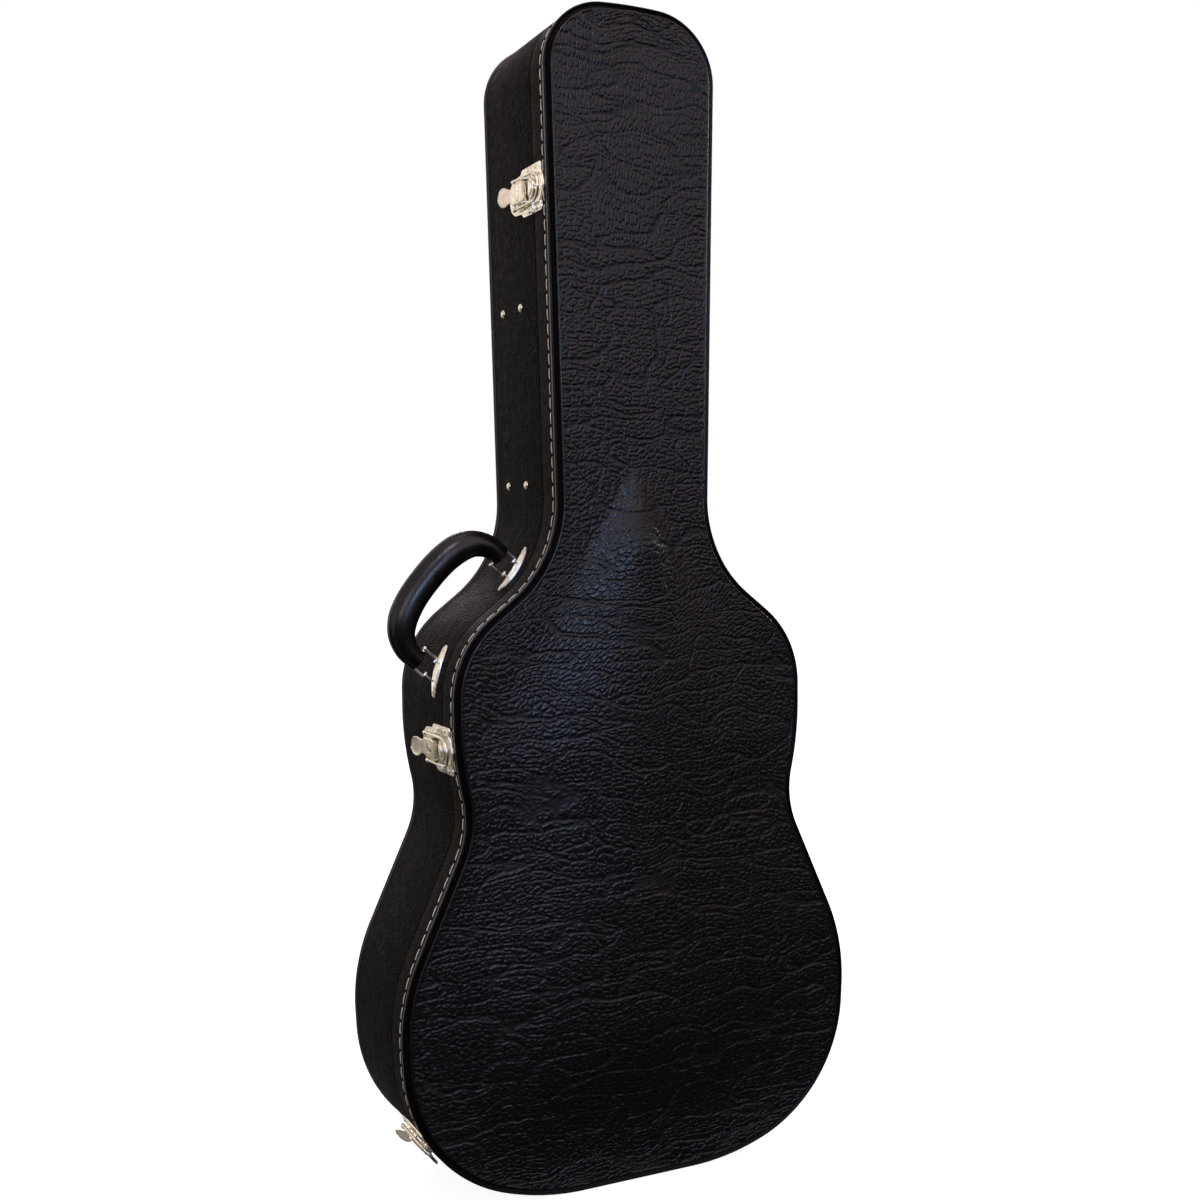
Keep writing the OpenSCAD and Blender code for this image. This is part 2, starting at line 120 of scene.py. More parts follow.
def make_outline(step):
    """Points of the outline, the outward direction at each, and the running length."""
    corners = [np.array(c[:2], float) for c in LOOP]
    points, outward = [], []
    for i, (corner, (_, _, radius)) in enumerate(zip(corners, LOOP)):
        u = unit(corners[i - 1] - corner)
        v = unit(corners[(i + 1) % len(LOOP)] - corner)
        half = math.acos(u @ v) / 2
        centre = corner + unit(u + v) * radius / math.sin(half)
        bulge = 1 if -u[0] * v[1] + u[1] * v[0] < 0 else -1
        first = corner + u * radius / math.tan(half) - centre
        start = math.atan2(first[1], first[0])
        sweep = -bulge * (math.pi - 2 * half)
        count = max(4, math.ceil(abs(sweep) * radius / step))
        for k in range(count + 1):
            angle = start + sweep * k / count
            direction = np.array([math.cos(angle), math.sin(angle)])
            points.append(centre + direction * radius)
            outward.append(direction * bulge)
    full, full_out = [], []
    for i, p in enumerate(points):
        q = points[(i + 1) % len(points)]
        count = max(1, round(np.linalg.norm(q - p) / step))
        for k in range(count):
            t = k / count
            full.append(p * (1 - t) + q * t)
            full_out.append(unit(outward[i] * (1 - t) + outward[(i + 1) % len(points)] * t))
    full, full_out = np.array(full), np.array(full_out)
    length = np.concatenate([[0], np.cumsum(np.linalg.norm(np.diff(full, axis=0), axis=1))])
    return full, full_out, length


RIM_STEP = 2.0
RIM, RIM_OUT, RIM_LENGTH = make_outline(RIM_STEP)


def rim_points(inset, y, keep=slice(None)):
    p = RIM[keep] - RIM_OUT[keep] * np.asarray(inset)[..., None]
    return np.stack([p[:, 0], np.broadcast_to(y, len(p)), p[:, 1]], axis=1)


# ---- mesh helpers
def join(*parts):
    verts, faces, shift = [], [], 0
    for v, f in parts:
        verts.append(np.asarray(v, float))
        faces += [tuple(i + shift for i in face) for face in f]
        shift += len(v)
    return np.concatenate(verts), faces


def loft(rings, closed=False):
    """Skin over a list of rings that have the same number of points, capped where it is open."""
    n, k = len(rings), len(rings[0])
    faces = [(a * k + b, a * k + (b + 1) % k, (a + 1) % n * k + (b + 1) % k, (a + 1) % n * k + b)
             for a in range(n if closed else n - 1) for b in range(k)]
    if not closed:
        faces += [tuple(range(k))[::-1], tuple(range((n - 1) * k, n * k))]
    return np.concatenate(rings), faces


def tube(path, radius, sides=12, closed=False, squash=1.0):
    """Round bar along a path, with rounded ends where it is open. radius may differ for each point."""
    path = np.asarray(path, float)
    radius = np.broadcast_to(radius, len(path)).astype(float)
    if closed:
        tangents = np.roll(path, -1, 0) - np.roll(path, 1, 0)
    else:
        tangents = np.gradient(path, axis=0)
        first, last = unit(tangents[0]), unit(tangents[-1])
        tips = path[0] - first * radius[0] * 0.45, path[-1] + last * radius[-1] * 0.45
        path = np.concatenate([[tips[0]], path, [tips[1]]])
        tangents = np.concatenate([[first], tangents, [last]])
        radius = np.concatenate([[radius[0] * 0.55], radius, [radius[-1] * 0.55]])
    side = np.cross(tangents[0], [0.3, 0.2, 0.93])
    rings = []
    angles = np.arange(sides) * 2 * math.pi / sides
    for p, t, r in zip(path, tangents, radius):
        t = unit(t)
        side = unit(side - t * (side @ t))
        other = np.cross(t, side)
        rings.append(p + r * (np.cos(angles)[:, None] * side + squash * np.sin(angles)[:, None] * other))
    return loft(rings, closed=closed)


def smooth_path(points, count):
    """Catmull-Rom curve through the points."""
    p = np.asarray(points, float)
    p = np.concatenate([[2 * p[0] - p[1]], p, [2 * p[-1] - p[-2]]])
    out = []
    for u in np.linspace(0, len(p) - 3 - 1e-9, count):
        i, t = int(u), u - int(u)
        a, b, c, d = p[i:i + 4]
        out.append(0.5 * (2 * b + (c - a) * t + (2 * a - 5 * b + 4 * c - d) * t * t
                          + (3 * b - a - 3 * c + d) * t ** 3))
    return np.array(out)


def add_piece(name, mesh, body, material, replaces=(), sharp=40):
    """Makes the object in metres, outward facing, and ties it to its CAD body."""
    verts, faces = mesh
    data = bpy.data.meshes.new(name)
    data.from_pydata((np.asarray(verts) * MM).tolist(), [], faces)
    work = bmesh.new()
    work.from_mesh(data)
    bmesh.ops.recalc_face_normals(work, faces=work.faces)
    work.to_mesh(data)
    work.free()
    data.shade_smooth()
    data.set_sharp_from_angle(angle=math.radians(sharp))
    data.materials.append(material)
    piece = new_object(name, data)
    if body:
        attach(piece, body)
    if replaces:
        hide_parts(*replaces)
    return piece


def sweep(profile):
    """Profile of (inset, y) points carried round the outline."""
    rows = np.stack([rim_points(inset, y) for inset, y in profile], axis=1)
    return loft(list(rows), closed=True)


def arc(x, y, radius, start, end, count):
    """Points on an arc round (x, y), from angle start to angle end."""
    return [(x + radius * math.cos(a), y + radius * math.sin(a)) for a in np.linspace(start, end, count)]


def mirrored(half):
    """A closed outline that is the same for +y and -y, from its -y half."""
    return half + [(x, -y) for x, y in reversed(half)]


def rounded(points, cut=1.0, steps=4):
    """A closed outline with its corners rounded."""
    p = np.asarray(points, float)
    out = []
    for i, corner in enumerate(p):
        a, b = p[i - 1], p[(i + 1) % len(p)]
        room = 0.45 * min(np.linalg.norm(a - corner), np.linalg.norm(b - corner))
        d = min(cut, room)
        start, end = corner + unit(a - corner) * d, corner + unit(b - corner) * d
        for t in np.linspace(0, 1, steps):
            out.append(start * (1 - t) ** 2 + 2 * corner * t * (1 - t) + end * t * t)
    return np.array(out)


def shrink(points, amount):
    """Moves every point of a closed outline inwards."""
    p = np.asarray(points, float)
    edge = np.roll(p, -1, 0) - p
    keep = np.linalg.norm(edge, axis=1, keepdims=True)
    normal = np.stack([edge[:, 1], -edge[:, 0]], axis=1) / np.maximum(keep, 1e-9)
    both = normal + np.roll(normal, 1, 0)
    both /= np.maximum((both ** 2).sum(1, keepdims=True) / 2, 0.35)
    area = (p[:, 0] * np.roll(p[:, 1], -1) - p[:, 1] * np.roll(p[:, 0], -1)).sum()
    return p - both * amount * (1 if area > 0 else -1)


def stamped(outline, low, high, edge=0.5, slices=()):
    """Plate with a rounded top edge; slices are cuts across local y that let it bend."""
    rings = [(outline, low), (outline, high - edge), (shrink(outline, edge * 0.3), high - edge * 0.3),
             (shrink(outline, edge), high)]
    verts, faces = loft([np.column_stack([o, np.full(len(o), z)]) for o, z in rings])
    work = bmesh.new()
    made = [work.verts.new(v) for v in verts]
    for f in faces:
        work.faces.new([made[i] for i in f])
    bmesh.ops.triangulate(work, faces=[f for f in work.faces if len(f.verts) > 4])
    for y in slices:
        bmesh.ops.bisect_plane(work, geom=work.verts[:] + work.edges[:] + work.faces[:],
                               plane_co=(0, y, 0), plane_no=(0, 1, 0), dist=1e-4)
    work.verts.index_update()
    result = np.array([v.co for v in work.verts]), [tuple(v.index for v in f.verts) for f in work.faces]
    work.free()
    return result


def domed(x, y, z, radius, height):
    """Rivet head."""
    rings, sides = [], 20
    for t in (0, 0.25, 0.5, 0.72, 0.88, 0.97):
        r, h = radius * math.cos(t * math.pi / 2), height * math.sin(t * math.pi / 2)
        a = np.arange(sides) * 2 * math.pi / sides
        rings.append(np.column_stack([x + r * np.cos(a), y + r * np.sin(a), np.full(sides, z + h)]))
    return loft(rings)


class Place:
    """Local axes on the side wall: x to the back, z out of the wall.

    bend is the wall's radius, which is negative where the wall is hollow.
    """

    def __init__(self, origin, out, bend=None):
        self.origin, self.out, self.bend = np.asarray(origin, float), unit(np.asarray(out, float)), bend
        self.across = np.cross(self.out, UP_Y)

    def put(self, mesh, bent=False):
        p = np.array(mesh[0], float)
        if bent and self.bend:
            turn = p[:, 1] / self.bend
            reach = self.bend + p[:, 2]
            p[:, 1], p[:, 2] = reach * np.sin(turn), reach * np.cos(turn) - self.bend
        return self.origin + np.outer(p[:, 0], UP_Y) + np.outer(p[:, 1], self.across) \
            + np.outer(p[:, 2], self.out), mesh[1]


JOINTS = {j["name"]: j for j in frame["joints"]}
PIVOT_X, PIVOT_Z, HOOK_X = 10.0, 5.2, 34.0


def latch_place(name, bend):
    """The lever's pivot gives the latch's place."""
    joint = JOINTS[name + "_lever_pivot"]
    across = -np.array(joint["axis"], float)
    out = np.cross(UP_Y, across)
    origin = np.array(joint["pos_m"], float) / MM - PIVOT_X * UP_Y - PIVOT_Z * out
    return Place(origin, out, bend)


def wall_place(node, bend):
    """The spot of the side wall that is nearest to a CAD node, at the middle of the node's depth."""
    low, high = box_mm(node)
    centre = (low + high) / 2
    i = np.argmin(((RIM - centre[[0, 2]]) ** 2).sum(1))
    p = RIM[i] - RIM_OUT[i] * PROUD
    return Place([p[0], centre[1], p[1]], [RIM_OUT[i][0], 0, RIM_OUT[i][1]], bend)


# ---- noise for relief
TABLE = np.random.default_rng(7).random((4, 256, 256))


def value_noise(x, y, layer=0):
    """Smooth noise from -1 to 1 with one bump per unit."""
    ix, iy = np.floor(x).astype(int), np.floor(y).astype(int)
    fx, fy = x - ix, y - iy
    fx, fy = fx * fx * (3 - 2 * fx), fy * fy * (3 - 2 * fy)
    t = TABLE[layer]
    a, b = t[ix % 256, iy % 256], t[(ix + 1) % 256, iy % 256]
    c, d = t[ix % 256, (iy + 1) % 256], t[(ix + 1) % 256, (iy + 1) % 256]
    return 2 * ((a * (1 - fx) + b * fx) * (1 - fy) + (c * (1 - fx) + d * fx) * fy) - 1


def cell_edge(x, y, shift):
    """0 on the borders of irregular cells one unit wide, rising towards their middles."""
    ix, iy = np.floor(x).astype(int), np.floor(y).astype(int)
    near = np.full((2,) + x.shape, 9.0)
    for dx in (-1, 0, 1):
        for dy in (-1, 0, 1):
            cx, cy = (ix + dx + shift) % 256, (iy + dy + 3 * shift) % 256
            px = ix + dx + 0.12 + 0.76 * TABLE[1][cx, cy]
            py = iy + dy + 0.12 + 0.76 * TABLE[2][cx, cy]
            d = np.hypot(px - x, py - y)
            far = np.maximum(near[0], d)
            near[0] = np.minimum(near[0], d)
            near[1] = np.minimum(near[1], far)
    return near[1] - near[0]


def ease(t):
    t = np.clip(t, 0, 1)
    return t * t * (3 - 2 * t)


CELL = 4.0           # width of one wrinkle of the hide
CELL_LONG = 2.3      # its length over its width
HIDE_DEPTH = 0.8


def hide_relief(x, z):
    """Height of the crinkled hide: 0 on top and about -1 in the creases.

    They run up the head and across the body.
    """
    wx = x + 6 * value_noise(x / 34, z / 34, 0) + 1.3 * value_noise(x / 9, z / 9, 3)
    wz = z + 6 * value_noise(x / 34 + 40, z / 34, 0) + 1.3 * value_noise(x / 9, z / 9 + 70, 3)
    patch = 0.5 + 0.9 * value_noise(x / 60, z / 60, 2)
    upright = ease((z - 760) / 160) * ease(patch + 0.35)
    slanted = ease(1 - np.abs(z - 520) / 150) * ease(patch + 0.15)
    relief = np.zeros_like(wx)
    total = np.zeros_like(wx)
    for angle, weight, shift in ((86, upright, 5), (38, slanted, 50), (6, 1.02 - upright - slanted, 90)):
        a = math.radians(angle)
        along = (wx * math.cos(a) + wz * math.sin(a)) / (CELL * CELL_LONG)
        across = (-wx * math.sin(a) + wz * math.cos(a)) / CELL
        coarse = ease(cell_edge(along, across, shift) / 0.28)
        fine = ease(cell_edge(along * 2.1 + 9, across * 1.7, shift + 31) / 0.4)
        w = np.clip(weight, 0.05, 1) ** 5
        relief += w * (0.76 * coarse + 0.24 * fine)
        total += w
    relief = relief / total - 1
    for stretch, gap, layer in ((1 / 90, 21, 0), (1 / 70, 21, 3), (1 / 62, 12, 1)):
        line = np.abs(value_noise(wx * stretch, wz / gap, layer))
        relief -= 0.8 * ease(1 - line * gap / 1.2)
    return np.maximum(relief, -1.3)


# ---- materials
def set_inputs(n, **values):
    for key, value in values.items():
        n.inputs[key.replace("_", " ")].default_value = value


def shader_of(m):
    return m.node_tree.nodes["Principled BSDF"]


def new_material(name, color, roughness, specular=0.5, metallic=0.0):
    m = bpy.data.materials.new(name)
    m.use_nodes = True
    set_inputs(shader_of(m), Base_Color=(*color, 1), Roughness=roughness, Specular_IOR_Level=specular,
               Metallic=metallic)
    return m


def node(m, kind, **settings):
    """A new node. Each setting is an attribute or, failing that, an input."""
    n = m.node_tree.nodes.new(kind)
    for key, value in settings.items():
        if hasattr(n, key):
            setattr(n, key, value)
        else:
            set_inputs(n, **{key: value})
    return n


def link(m, a, b):
    m.node_tree.links.new(a, b)


def texture(m, kind, stretch=(1, 1, 1), **settings):
    """A texture node in object coordinates, in features per metre."""
    mapping = node(m, "ShaderNodeMapping", Scale=stretch)
    link(m, node(m, "ShaderNodeTexCoord").outputs["Object"], mapping.inputs["Vector"])
    n = node(m, kind, **settings)
    link(m, mapping.outputs["Vector"], n.inputs["Vector"])
    return n


def bump(m, height, distance, strength=1.0):
    """Adds a bump on top of those that are already there."""
    b = node(m, "ShaderNodeBump", Strength=strength, Distance=distance)
    normal = shader_of(m).inputs["Normal"]
    link(m, height, b.inputs["Height"])
    if normal.links:
        link(m, normal.links[0].from_socket, b.inputs["Normal"])
    link(m, b.outputs["Normal"], normal)


def color_ramp(m, factor, stops):
    """A factor sent through (position, colour or grey) stops."""
    r = node(m, "ShaderNodeValToRGB")
    elements = r.color_ramp.elements
    elements[0].position, elements[1].position = stops[0][0], stops[-1][0]
    for position, _ in stops[1:-1]:
        elements.new(position)
    for element, (_, color) in zip(elements, stops):
        element.color = (*color, 1) if hasattr(color, "__len__") else (color, color, color, 1)
    link(m, factor, r.inputs["Fac"])
    return r.outputs["Color"]


def ramp(m, factor, stops, target):
    """Sends a factor through a colour ramp into a socket of the shader."""
    link(m, color_ramp(m, factor, stops), shader_of(m).inputs[target])


def noise(m, scale, detail=2.0, **settings):
    return texture(m, "ShaderNodeTexNoise", Scale=scale, Detail=detail, **settings).outputs["Fac"]


def cells(m, scale):
    return texture(m, "ShaderNodeTexVoronoi", Scale=scale).outputs["Distance"]


def hide_material():
    m = new_material("hide_vinyl", (0.006, 0.005, 0.006), 0.34, 0.32)
    relief = node(m, "ShaderNodeAttribute", attribute_name="relief").outputs["Fac"]
    mix = node(m, "ShaderNodeMath", operation="MULTIPLY_ADD")
    link(m, relief, mix.inputs[0])
    mix.inputs[1].default_value = 0.5
    link(m, noise(m, 7.0, 3.0), mix.inputs[2])
    # Base colour follows the relief: darker in the creases as painted shade, and lighter on the ridge
    # tops as wear and painted highlight together.
    ramp(m, mix.outputs[0],
         [(0.0, 0.001), (0.5, (0.003, 0.0024, 0.0026)), (0.85, (0.0048, 0.004, 0.0046))], "Base Color")
    ramp(m, relief, [(0.0, 0.5), (0.6, 0.31), (1.0, 0.25)], "Roughness")
    bump(m, cells(m, 620.0), 0.0002, 0.35)
    bump(m, noise(m, 900.0, 4.0), 0.00025, 0.5)
    return m


def pebbled_material(name, dark, light, scale, depth):
    m = new_material(name, light, 0.55, 0.025)
    ramp(m, noise(m, scale * 0.6, 5.0), [(0.42, dark), (0.6, light)], "Base Color")
    bump(m, cells(m, scale), depth, 0.9)
    bump(m, noise(m, scale * 1.7, 3.0), depth * 0.6, 0.5)
    ramp(m, noise(m, 110.0, 8.0), [(0.35, 0.48), (0.7, 0.64)], "Roughness")
    return m


def bead_material():
    m = new_material("bead_vinyl", (0.003, 0.003, 0.003), 0.3, 0.12)
    bump(m, noise(m, 480.0, 3.0), 0.0003, 0.35)
    tone = noise(m, 25.0, 5.0)
    ramp(m, tone, [(0.3, 0.002), (0.75, (0.004, 0.0035, 0.0035))], "Base Color")
    ramp(m, tone, [(0.3, 0.28), (0.7, 0.38)], "Roughness")
    return m


def leather_material():
    m = new_material("grip_leather", (0.004, 0.004, 0.005), 0.36, 0.4)
    bump(m, cells(m, 700.0), 0.00018, 0.4)
    folds = noise(m, 60.0, 5.0)
    bump(m, folds, 0.0012, 0.3)
    ramp(m, folds, [(0.3, 0.002), (0.75, (0.005, 0.004, 0.004))], "Base Color")
    ramp(m, folds, [(0.3, 0.26), (0.7, 0.38)], "Roughness")
    return m


def metal_material(name, color, low, high):
    """Metal with smears, scratches and slight dents, and a roughness between low and high."""
    m = new_material(name, color, low, 0.5, 1.0)
    ramp(m, noise(m, 90.0, 6.0), [(0.3, low), (0.7, high)], "Roughness")
    shade = tuple(c * 0.82 for c in color)
    ramp(m, noise(m, 220.0, 3.0), [(0.3, shade), (0.62, color)], "Base Color")
    bump(m, noise(m, 1500.0, 2.0, stretch=(1, 1, 0.1)), 0.00006, 0.25)
    bump(m, noise(m, 160.0, 1.0), 0.0005, 0.12)
    return m


# Near-black material for the keyway: painted shade that stands for the depth of the slot.
def keyway_shade_material():
    m = new_material("keyway_painted_shade", (0.01, 0.01, 0.01), 0.6)
    ramp(m, noise(m, 400.0), [(0.3, 0.006), (0.7, (0.02, 0.019, 0.018))], "Base Color")
    return m


def thread_material():
    m = new_material("stitch_thread", (0.74, 0.66, 0.54), 0.75, 0.3)
    twist = texture(m, "ShaderNodeTexWave", Scale=420.0, Distortion=0.6)
    bump(m, twist.outputs["Fac"], 0.0002, 0.7)
    ramp(m, noise(m, 300.0), [(0.3, (0.52, 0.42, 0.33)), (0.7, (0.80, 0.74, 0.63))], "Base Color")
    return m


def plush_material():
    m = new_material("plush", (0.016, 0.016, 0.019), 0.95, 0.1)
    set_inputs(shader_of(m), Sheen_Weight=0.45, Sheen_Roughness=0.42, Sheen_Tint=(0.62, 0.62, 0.68, 1))
    bump(m, noise(m, 1300.0, 4.0), 0.0007, 0.8)
    brushed = noise(m, 14.0, 5.0, Distortion=0.8)
    ramp(m, brushed, [(0.35, (0.015, 0.015, 0.018)), (0.65, (0.023, 0.023, 0.027))], "Base Color")
    bump(m, brushed, 0.002, 0.3)
    return m


HIDE = hide_material()
PEBBLED = pebbled_material("pebbled_vinyl", (0.003, 0.0027, 0.0025), (0.0066, 0.0056, 0.0048),
                           430.0, 0.0014)
BROWN = pebbled_material("brown_vinyl", (0.0042, 0.0033, 0.0029), (0.0088, 0.0066, 0.0056),
                         560.0, 0.0007)
BEAD_VINYL = bead_material()
LEATHER = leather_material()
NICKEL = metal_material("nickel", (0.93, 0.87, 0.73), 0.24, 0.4)
STEEL = metal_material("steel_pins", (0.60, 0.57, 0.50), 0.28, 0.42)
THREAD = thread_material()
PLUSH = plush_material()
KEYWAY_SHADE = keyway_shade_material()


# ---- panels
APEX_Z = 684         # top of the ridge
RIDGE_SPREAD = 0.64  # half width that the ridge gains for each millimetre down
PANEL_INSET = 6.2    # where the hide starts, on top of the bead
EDGE_ROLL = 1.5      # how far the hide turns down at its edge
EDGE_REACH = 12.0    # the distance to the edge is measured up to here


def arch(x, z, half_w):
    """Rise of the arched lid, as the CAD panel has it."""
    wide = np.minimum(RIDGE_SPREAD * np.maximum(1, APEX_Z - z), half_w)
    t = np.minimum(1, np.abs(x) / wide)
    rise = ARCH * ease((APEX_Z - z) / 90) * ease((z - 12) / 150)
    return rise * (1 + np.cos(math.pi * t)) / 2


def panel(inset, step, columns, face, base):
    """Closed solid over the outline.

    face(x, z, half width, distance to the edge) gives y on the shown side, and base is y behind it.
    """
    p = RIM - RIM_OUT * inset
    half = [q for q in p[: len(p) // 2 + 2] if q[0] > 4 and q[1] > inset + 0.02]
    rows = [half[0]]
    for a, b in zip(half, half[1:]):
        n = max(1, round(np.linalg.norm(b - a) / step))
        rows += [a + (b - a) * (k + 1) / n for k in range(n)]
    rows = np.array(rows)
    u = np.linspace(-1, 1, columns)
    x = rows[:, :1] * u
    z = np.repeat(rows[:, 1:], columns, axis=1)
    half_w = np.repeat(rows[:, :1], columns, axis=1)
    tree = KDTree(len(p))
    for i, q in enumerate(p):
        tree.insert((q[0], 0, q[1]), i)
    tree.balance()
    near_edge = (half_w - np.abs(x) < EDGE_REACH) | (z > CASE_H - 40) | (z < 60)
    distance = np.full(x.shape, EDGE_REACH)
    for i, j in np.argwhere(near_edge):
        distance[i, j] = tree.find((x[i, j], 0, z[i, j]))[2]
    y = face(x, z, half_w, distance)
    verts = np.stack([x, y, z], axis=-1).reshape(-1, 3)
    n, m = x.shape
    grid = np.arange(n * m).reshape(n, m)
    quads = np.stack([grid[:-1, :-1], grid[:-1, 1:], grid[1:, 1:], grid[1:, :-1]], axis=-1).reshape(-1, 4)
    rim = np.concatenate([grid[0], grid[1:, -1], grid[-1, -2::-1], grid[-2:0:-1, 0]])
    under = verts[rim].copy()
    under[:, 1] = base
    count = len(verts)
    ring = range(len(rim))
    sides = [(rim[i], count + i, count + (i + 1) % len(rim), rim[(i + 1) % len(rim)]) for i in ring]
    faces = [tuple(q) for q in quads.tolist()] + [tuple(int(i) for i in s) for s in sides]
    faces.append(tuple(count + i for i in ring))
    return np.concatenate([verts, under]), faces


def with_relief(piece, values):
    attribute = piece.data.attributes.new("relief", "FLOAT", "POINT")
    padded_values = np.zeros(len(piece.data.vertices), np.float32)
    padded_values[: len(values)] = values
    attribute.data.foreach_set("value", padded_values)


def add_hide_panels():
    step, columns = ((0.95, 470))
    for name, node_name, body, y0, out, base in (
            ("hide_front", "front_panel", "lid", FRONT + SUNK, -1, FRONT + 5.4),
            ("hide_back", "back_panel", "base", BACK - SUNK, 1, BACK - 5.4)):
        stored = {}

        def face(x, z, half_w, distance):
            relief = hide_relief(x + (0 if out < 0 else 400), z) * ease((distance - 0.6) / 3)
            stored["relief"] = np.clip(1 + relief, 0, 1).ravel()
            rise = arch(x, z, half_w) if out < 0 else 0
            past = 1 - np.clip(distance / EDGE_ROLL, 0, 1)
            roll = EDGE_ROLL * (1 - np.sqrt(np.clip(1 - past ** 2, 0, 1)))
            swell = 0.5 * value_noise(x / 110, z / 110, 1)
            return y0 + out * (rise + relief * HIDE_DEPTH + swell * ease(distance / 11) - roll + 0.2)

        mesh = panel(PANEL_INSET, step, columns, face, base)
        piece = add_piece(name, mesh, body, HIDE, [node_name], sharp=80)
        with_relief(piece, stored["relief"])


# ---- rims and beads
# A thin rolled corner and a sunk ledge round the hide: inset, distance from the front
BEAD_PROFILE = [(PROUD, 10.2), (1.0, 9.8), (0.85, 9.2), (0.7, 8.0), (0.5, 6.4), (0.2, 5.4), (0.15, 4.6),
                (0.4, 3.9), (0.9, 3.5), (1.5, 3.4), (2.1, 3.7), (2.6, 4.3), (3.4, 4.8), (4.8, 5.0),
                (6.0, 5.1), (6.9, 5.5), (7.4, 6.2), (7.4, 8), (6.4, 10.2)]
STITCH_Y = FRONT + 14.5
# Cross-section of the channel that the stitches lie in: offset, depth
CHANNEL = [(-3.2, 0), (-1.6, 0.12), (-0.8, 0.42), (0, 0.5), (0.8, 0.42), (1.6, 0.12), (3.2, 0)]
BOARD = 5.0          # thickness of the side wall
WALL_GAP = 0.25      # from the seam to either wall
UNDER_BEAD = 9.6     # depth behind the front or back at which the side wall starts


def side_profile(y0, y1, channel_y=None):
    """Side wall from y0 to y1 with rolled edges and, where asked, the channel for the stitches."""
    roll = 1.1
    outer = [(PROUD + roll, y0), (PROUD + roll * 0.3, y0 + roll * 0.3), (PROUD, y0 + roll)]
    if channel_y is not None:
        outer += [(PROUD + depth, channel_y + offset) for offset, depth in CHANNEL]
    outer += [(PROUD, y1 - roll), (PROUD + roll * 0.3, y1 - roll * 0.3), (PROUD + roll, y1)]
    return outer + [(PROUD + BOARD, y1), (PROUD + BOARD, y0)]


def add_rims():
    front_bead = sweep([(inset, FRONT + y) for inset, y in BEAD_PROFILE])
    back_bead = sweep([(inset, BACK - y) for inset, y in BEAD_PROFILE])
    add_piece("front_bead_roll", front_bead, "lid", BEAD_VINYL, ["front_bead"])
    add_piece("back_bead_roll", back_bead, "base", BEAD_VINYL, ["back_bead"])
    lid_wall = sweep(side_profile(FRONT + UNDER_BEAD, SEAM - WALL_GAP, STITCH_Y))
    base_wall = sweep(side_profile(SEAM + WALL_GAP, BACK - UNDER_BEAD))
    add_piece("lid_side", lid_wall, "lid", BROWN, ["lid_rim"])
    add_piece("base_side", base_wall, "base", PEBBLED, ["base_rim"])
    (_, low, _), (_, high, _) = box_mm("inner_lip")
    outer = PROUD + BOARD
    inner = outer + 3
    lip = [(outer, high), (outer, SEAM + WALL_GAP), (outer + 1.2, SEAM - 0.4), (outer + 1.2, low + 1.2),
           (outer + 1.5, low + 0.4), (outer + 2.1, low), (inner - 0.5, low + 0.4), (inner, low + 1.2),
           (inner, high)]
    add_piece("inner_lip_wrap", sweep(lip), "base", BEAD_VINYL, ["inner_lip"])


STITCH_PITCH = 13.4
STITCH_LENGTH = 10.4
THREAD_R = 0.5


def add_stitches():
    """Slightly skewed stitches round the lid, whose ends dive into the channel."""
    total = RIM_LENGTH[-1] + np.linalg.norm(RIM[0] - RIM[-1])
    count = round(total / STITCH_PITCH)
    share = np.array([0, 0.07, 0.3, 0.5, 0.7, 0.93, 1]) * STITCH_LENGTH / STITCH_PITCH
    lift = np.array([-0.9, 0.0, 0.2, 0.25, 0.2, 0.0, -0.9])
    skew = np.linspace(-0.1, 0.1, 7)
    parts = []
    for k in range(count):
        s = (k + share) * total / count
        p, out = (np.stack([np.interp(s, RIM_LENGTH, line[:, i], period=total) for i in (0, 1)], axis=1)
                  for line in (RIM, RIM_OUT))
        q = p + out * (lift - PROUD - 0.2)[:, None]
        parts.append(tube(np.stack([q[:, 0], STITCH_Y + skew, q[:, 1]], axis=1), THREAD_R, 8))
    add_piece("lid_stitching", join(*parts), "lid", THREAD)


# ---- latches
BASE_PLATE = mirrored([(0.4, -22), (23, -22), (27, -18), (43, -17), (51, -12), (54, -6)])
BASE_UPPER = mirrored([(3, -12.2), (26, -12.2), (30, -11), (41, -10.4), (46, -7)])
LEVER_EAR = [(5, -0.6), (15.5, -0.6), (15.5, 4.4), (12, 8.2), (8, 8.2), (5, 4.4)]
CATCH_PLATE = [(-0.4, -22), (-0.4, 22), (-19, 22), (-20.5, 19), (-19.5, 14), (-23, 8), (-26, 0),
               (-23, -8), (-19.5, -14), (-20.5, -19), (-19, -22)]
# Layers of the hook that the bail goes round: radius, low, high, rounding
HOOK_LAYERS = [(7.6, 1.0, 3.6, 0.4), (9.8, 3.3, 5.3, 0.8), (7.2, 5.0, 6.4, 0.8)]
SLICES = range(-20, 21, 4)     # cuts that let a plate bend round the wall
BAIL_HALF = 13.0
BAIL_R = 1.35
RIVET_Y = 18.4


def rib(x0, x1, y0, y1, low, high, round_off=0.5):
    corners = [(x0, y0), (x1, y0), (x1, y1), (x0, y1)]
    return stamped(rounded(corners, round_off * 2), low, high, min(round_off, (high - low) * 0.6))


def seam_ribs(x0, x1):
    """Rolled edges of a plate along the seam, on either side of the lever."""
    return [rib(x0, x1, side * 13 - 8.4, side * 13 + 8.4, 1.0, 2.4, 0.6) for side in (-1, 1)]


def plate_layers(plan, cut, border):
    """Plate with a slightly raised field inside a border."""
    outline = rounded(plan, cut)
    field = shrink(outline, border)
    return [stamped(outline, -1.4, 1.0, 0.5, SLICES), stamped(field, 0.9, 1.5, 0.45, SLICES)]


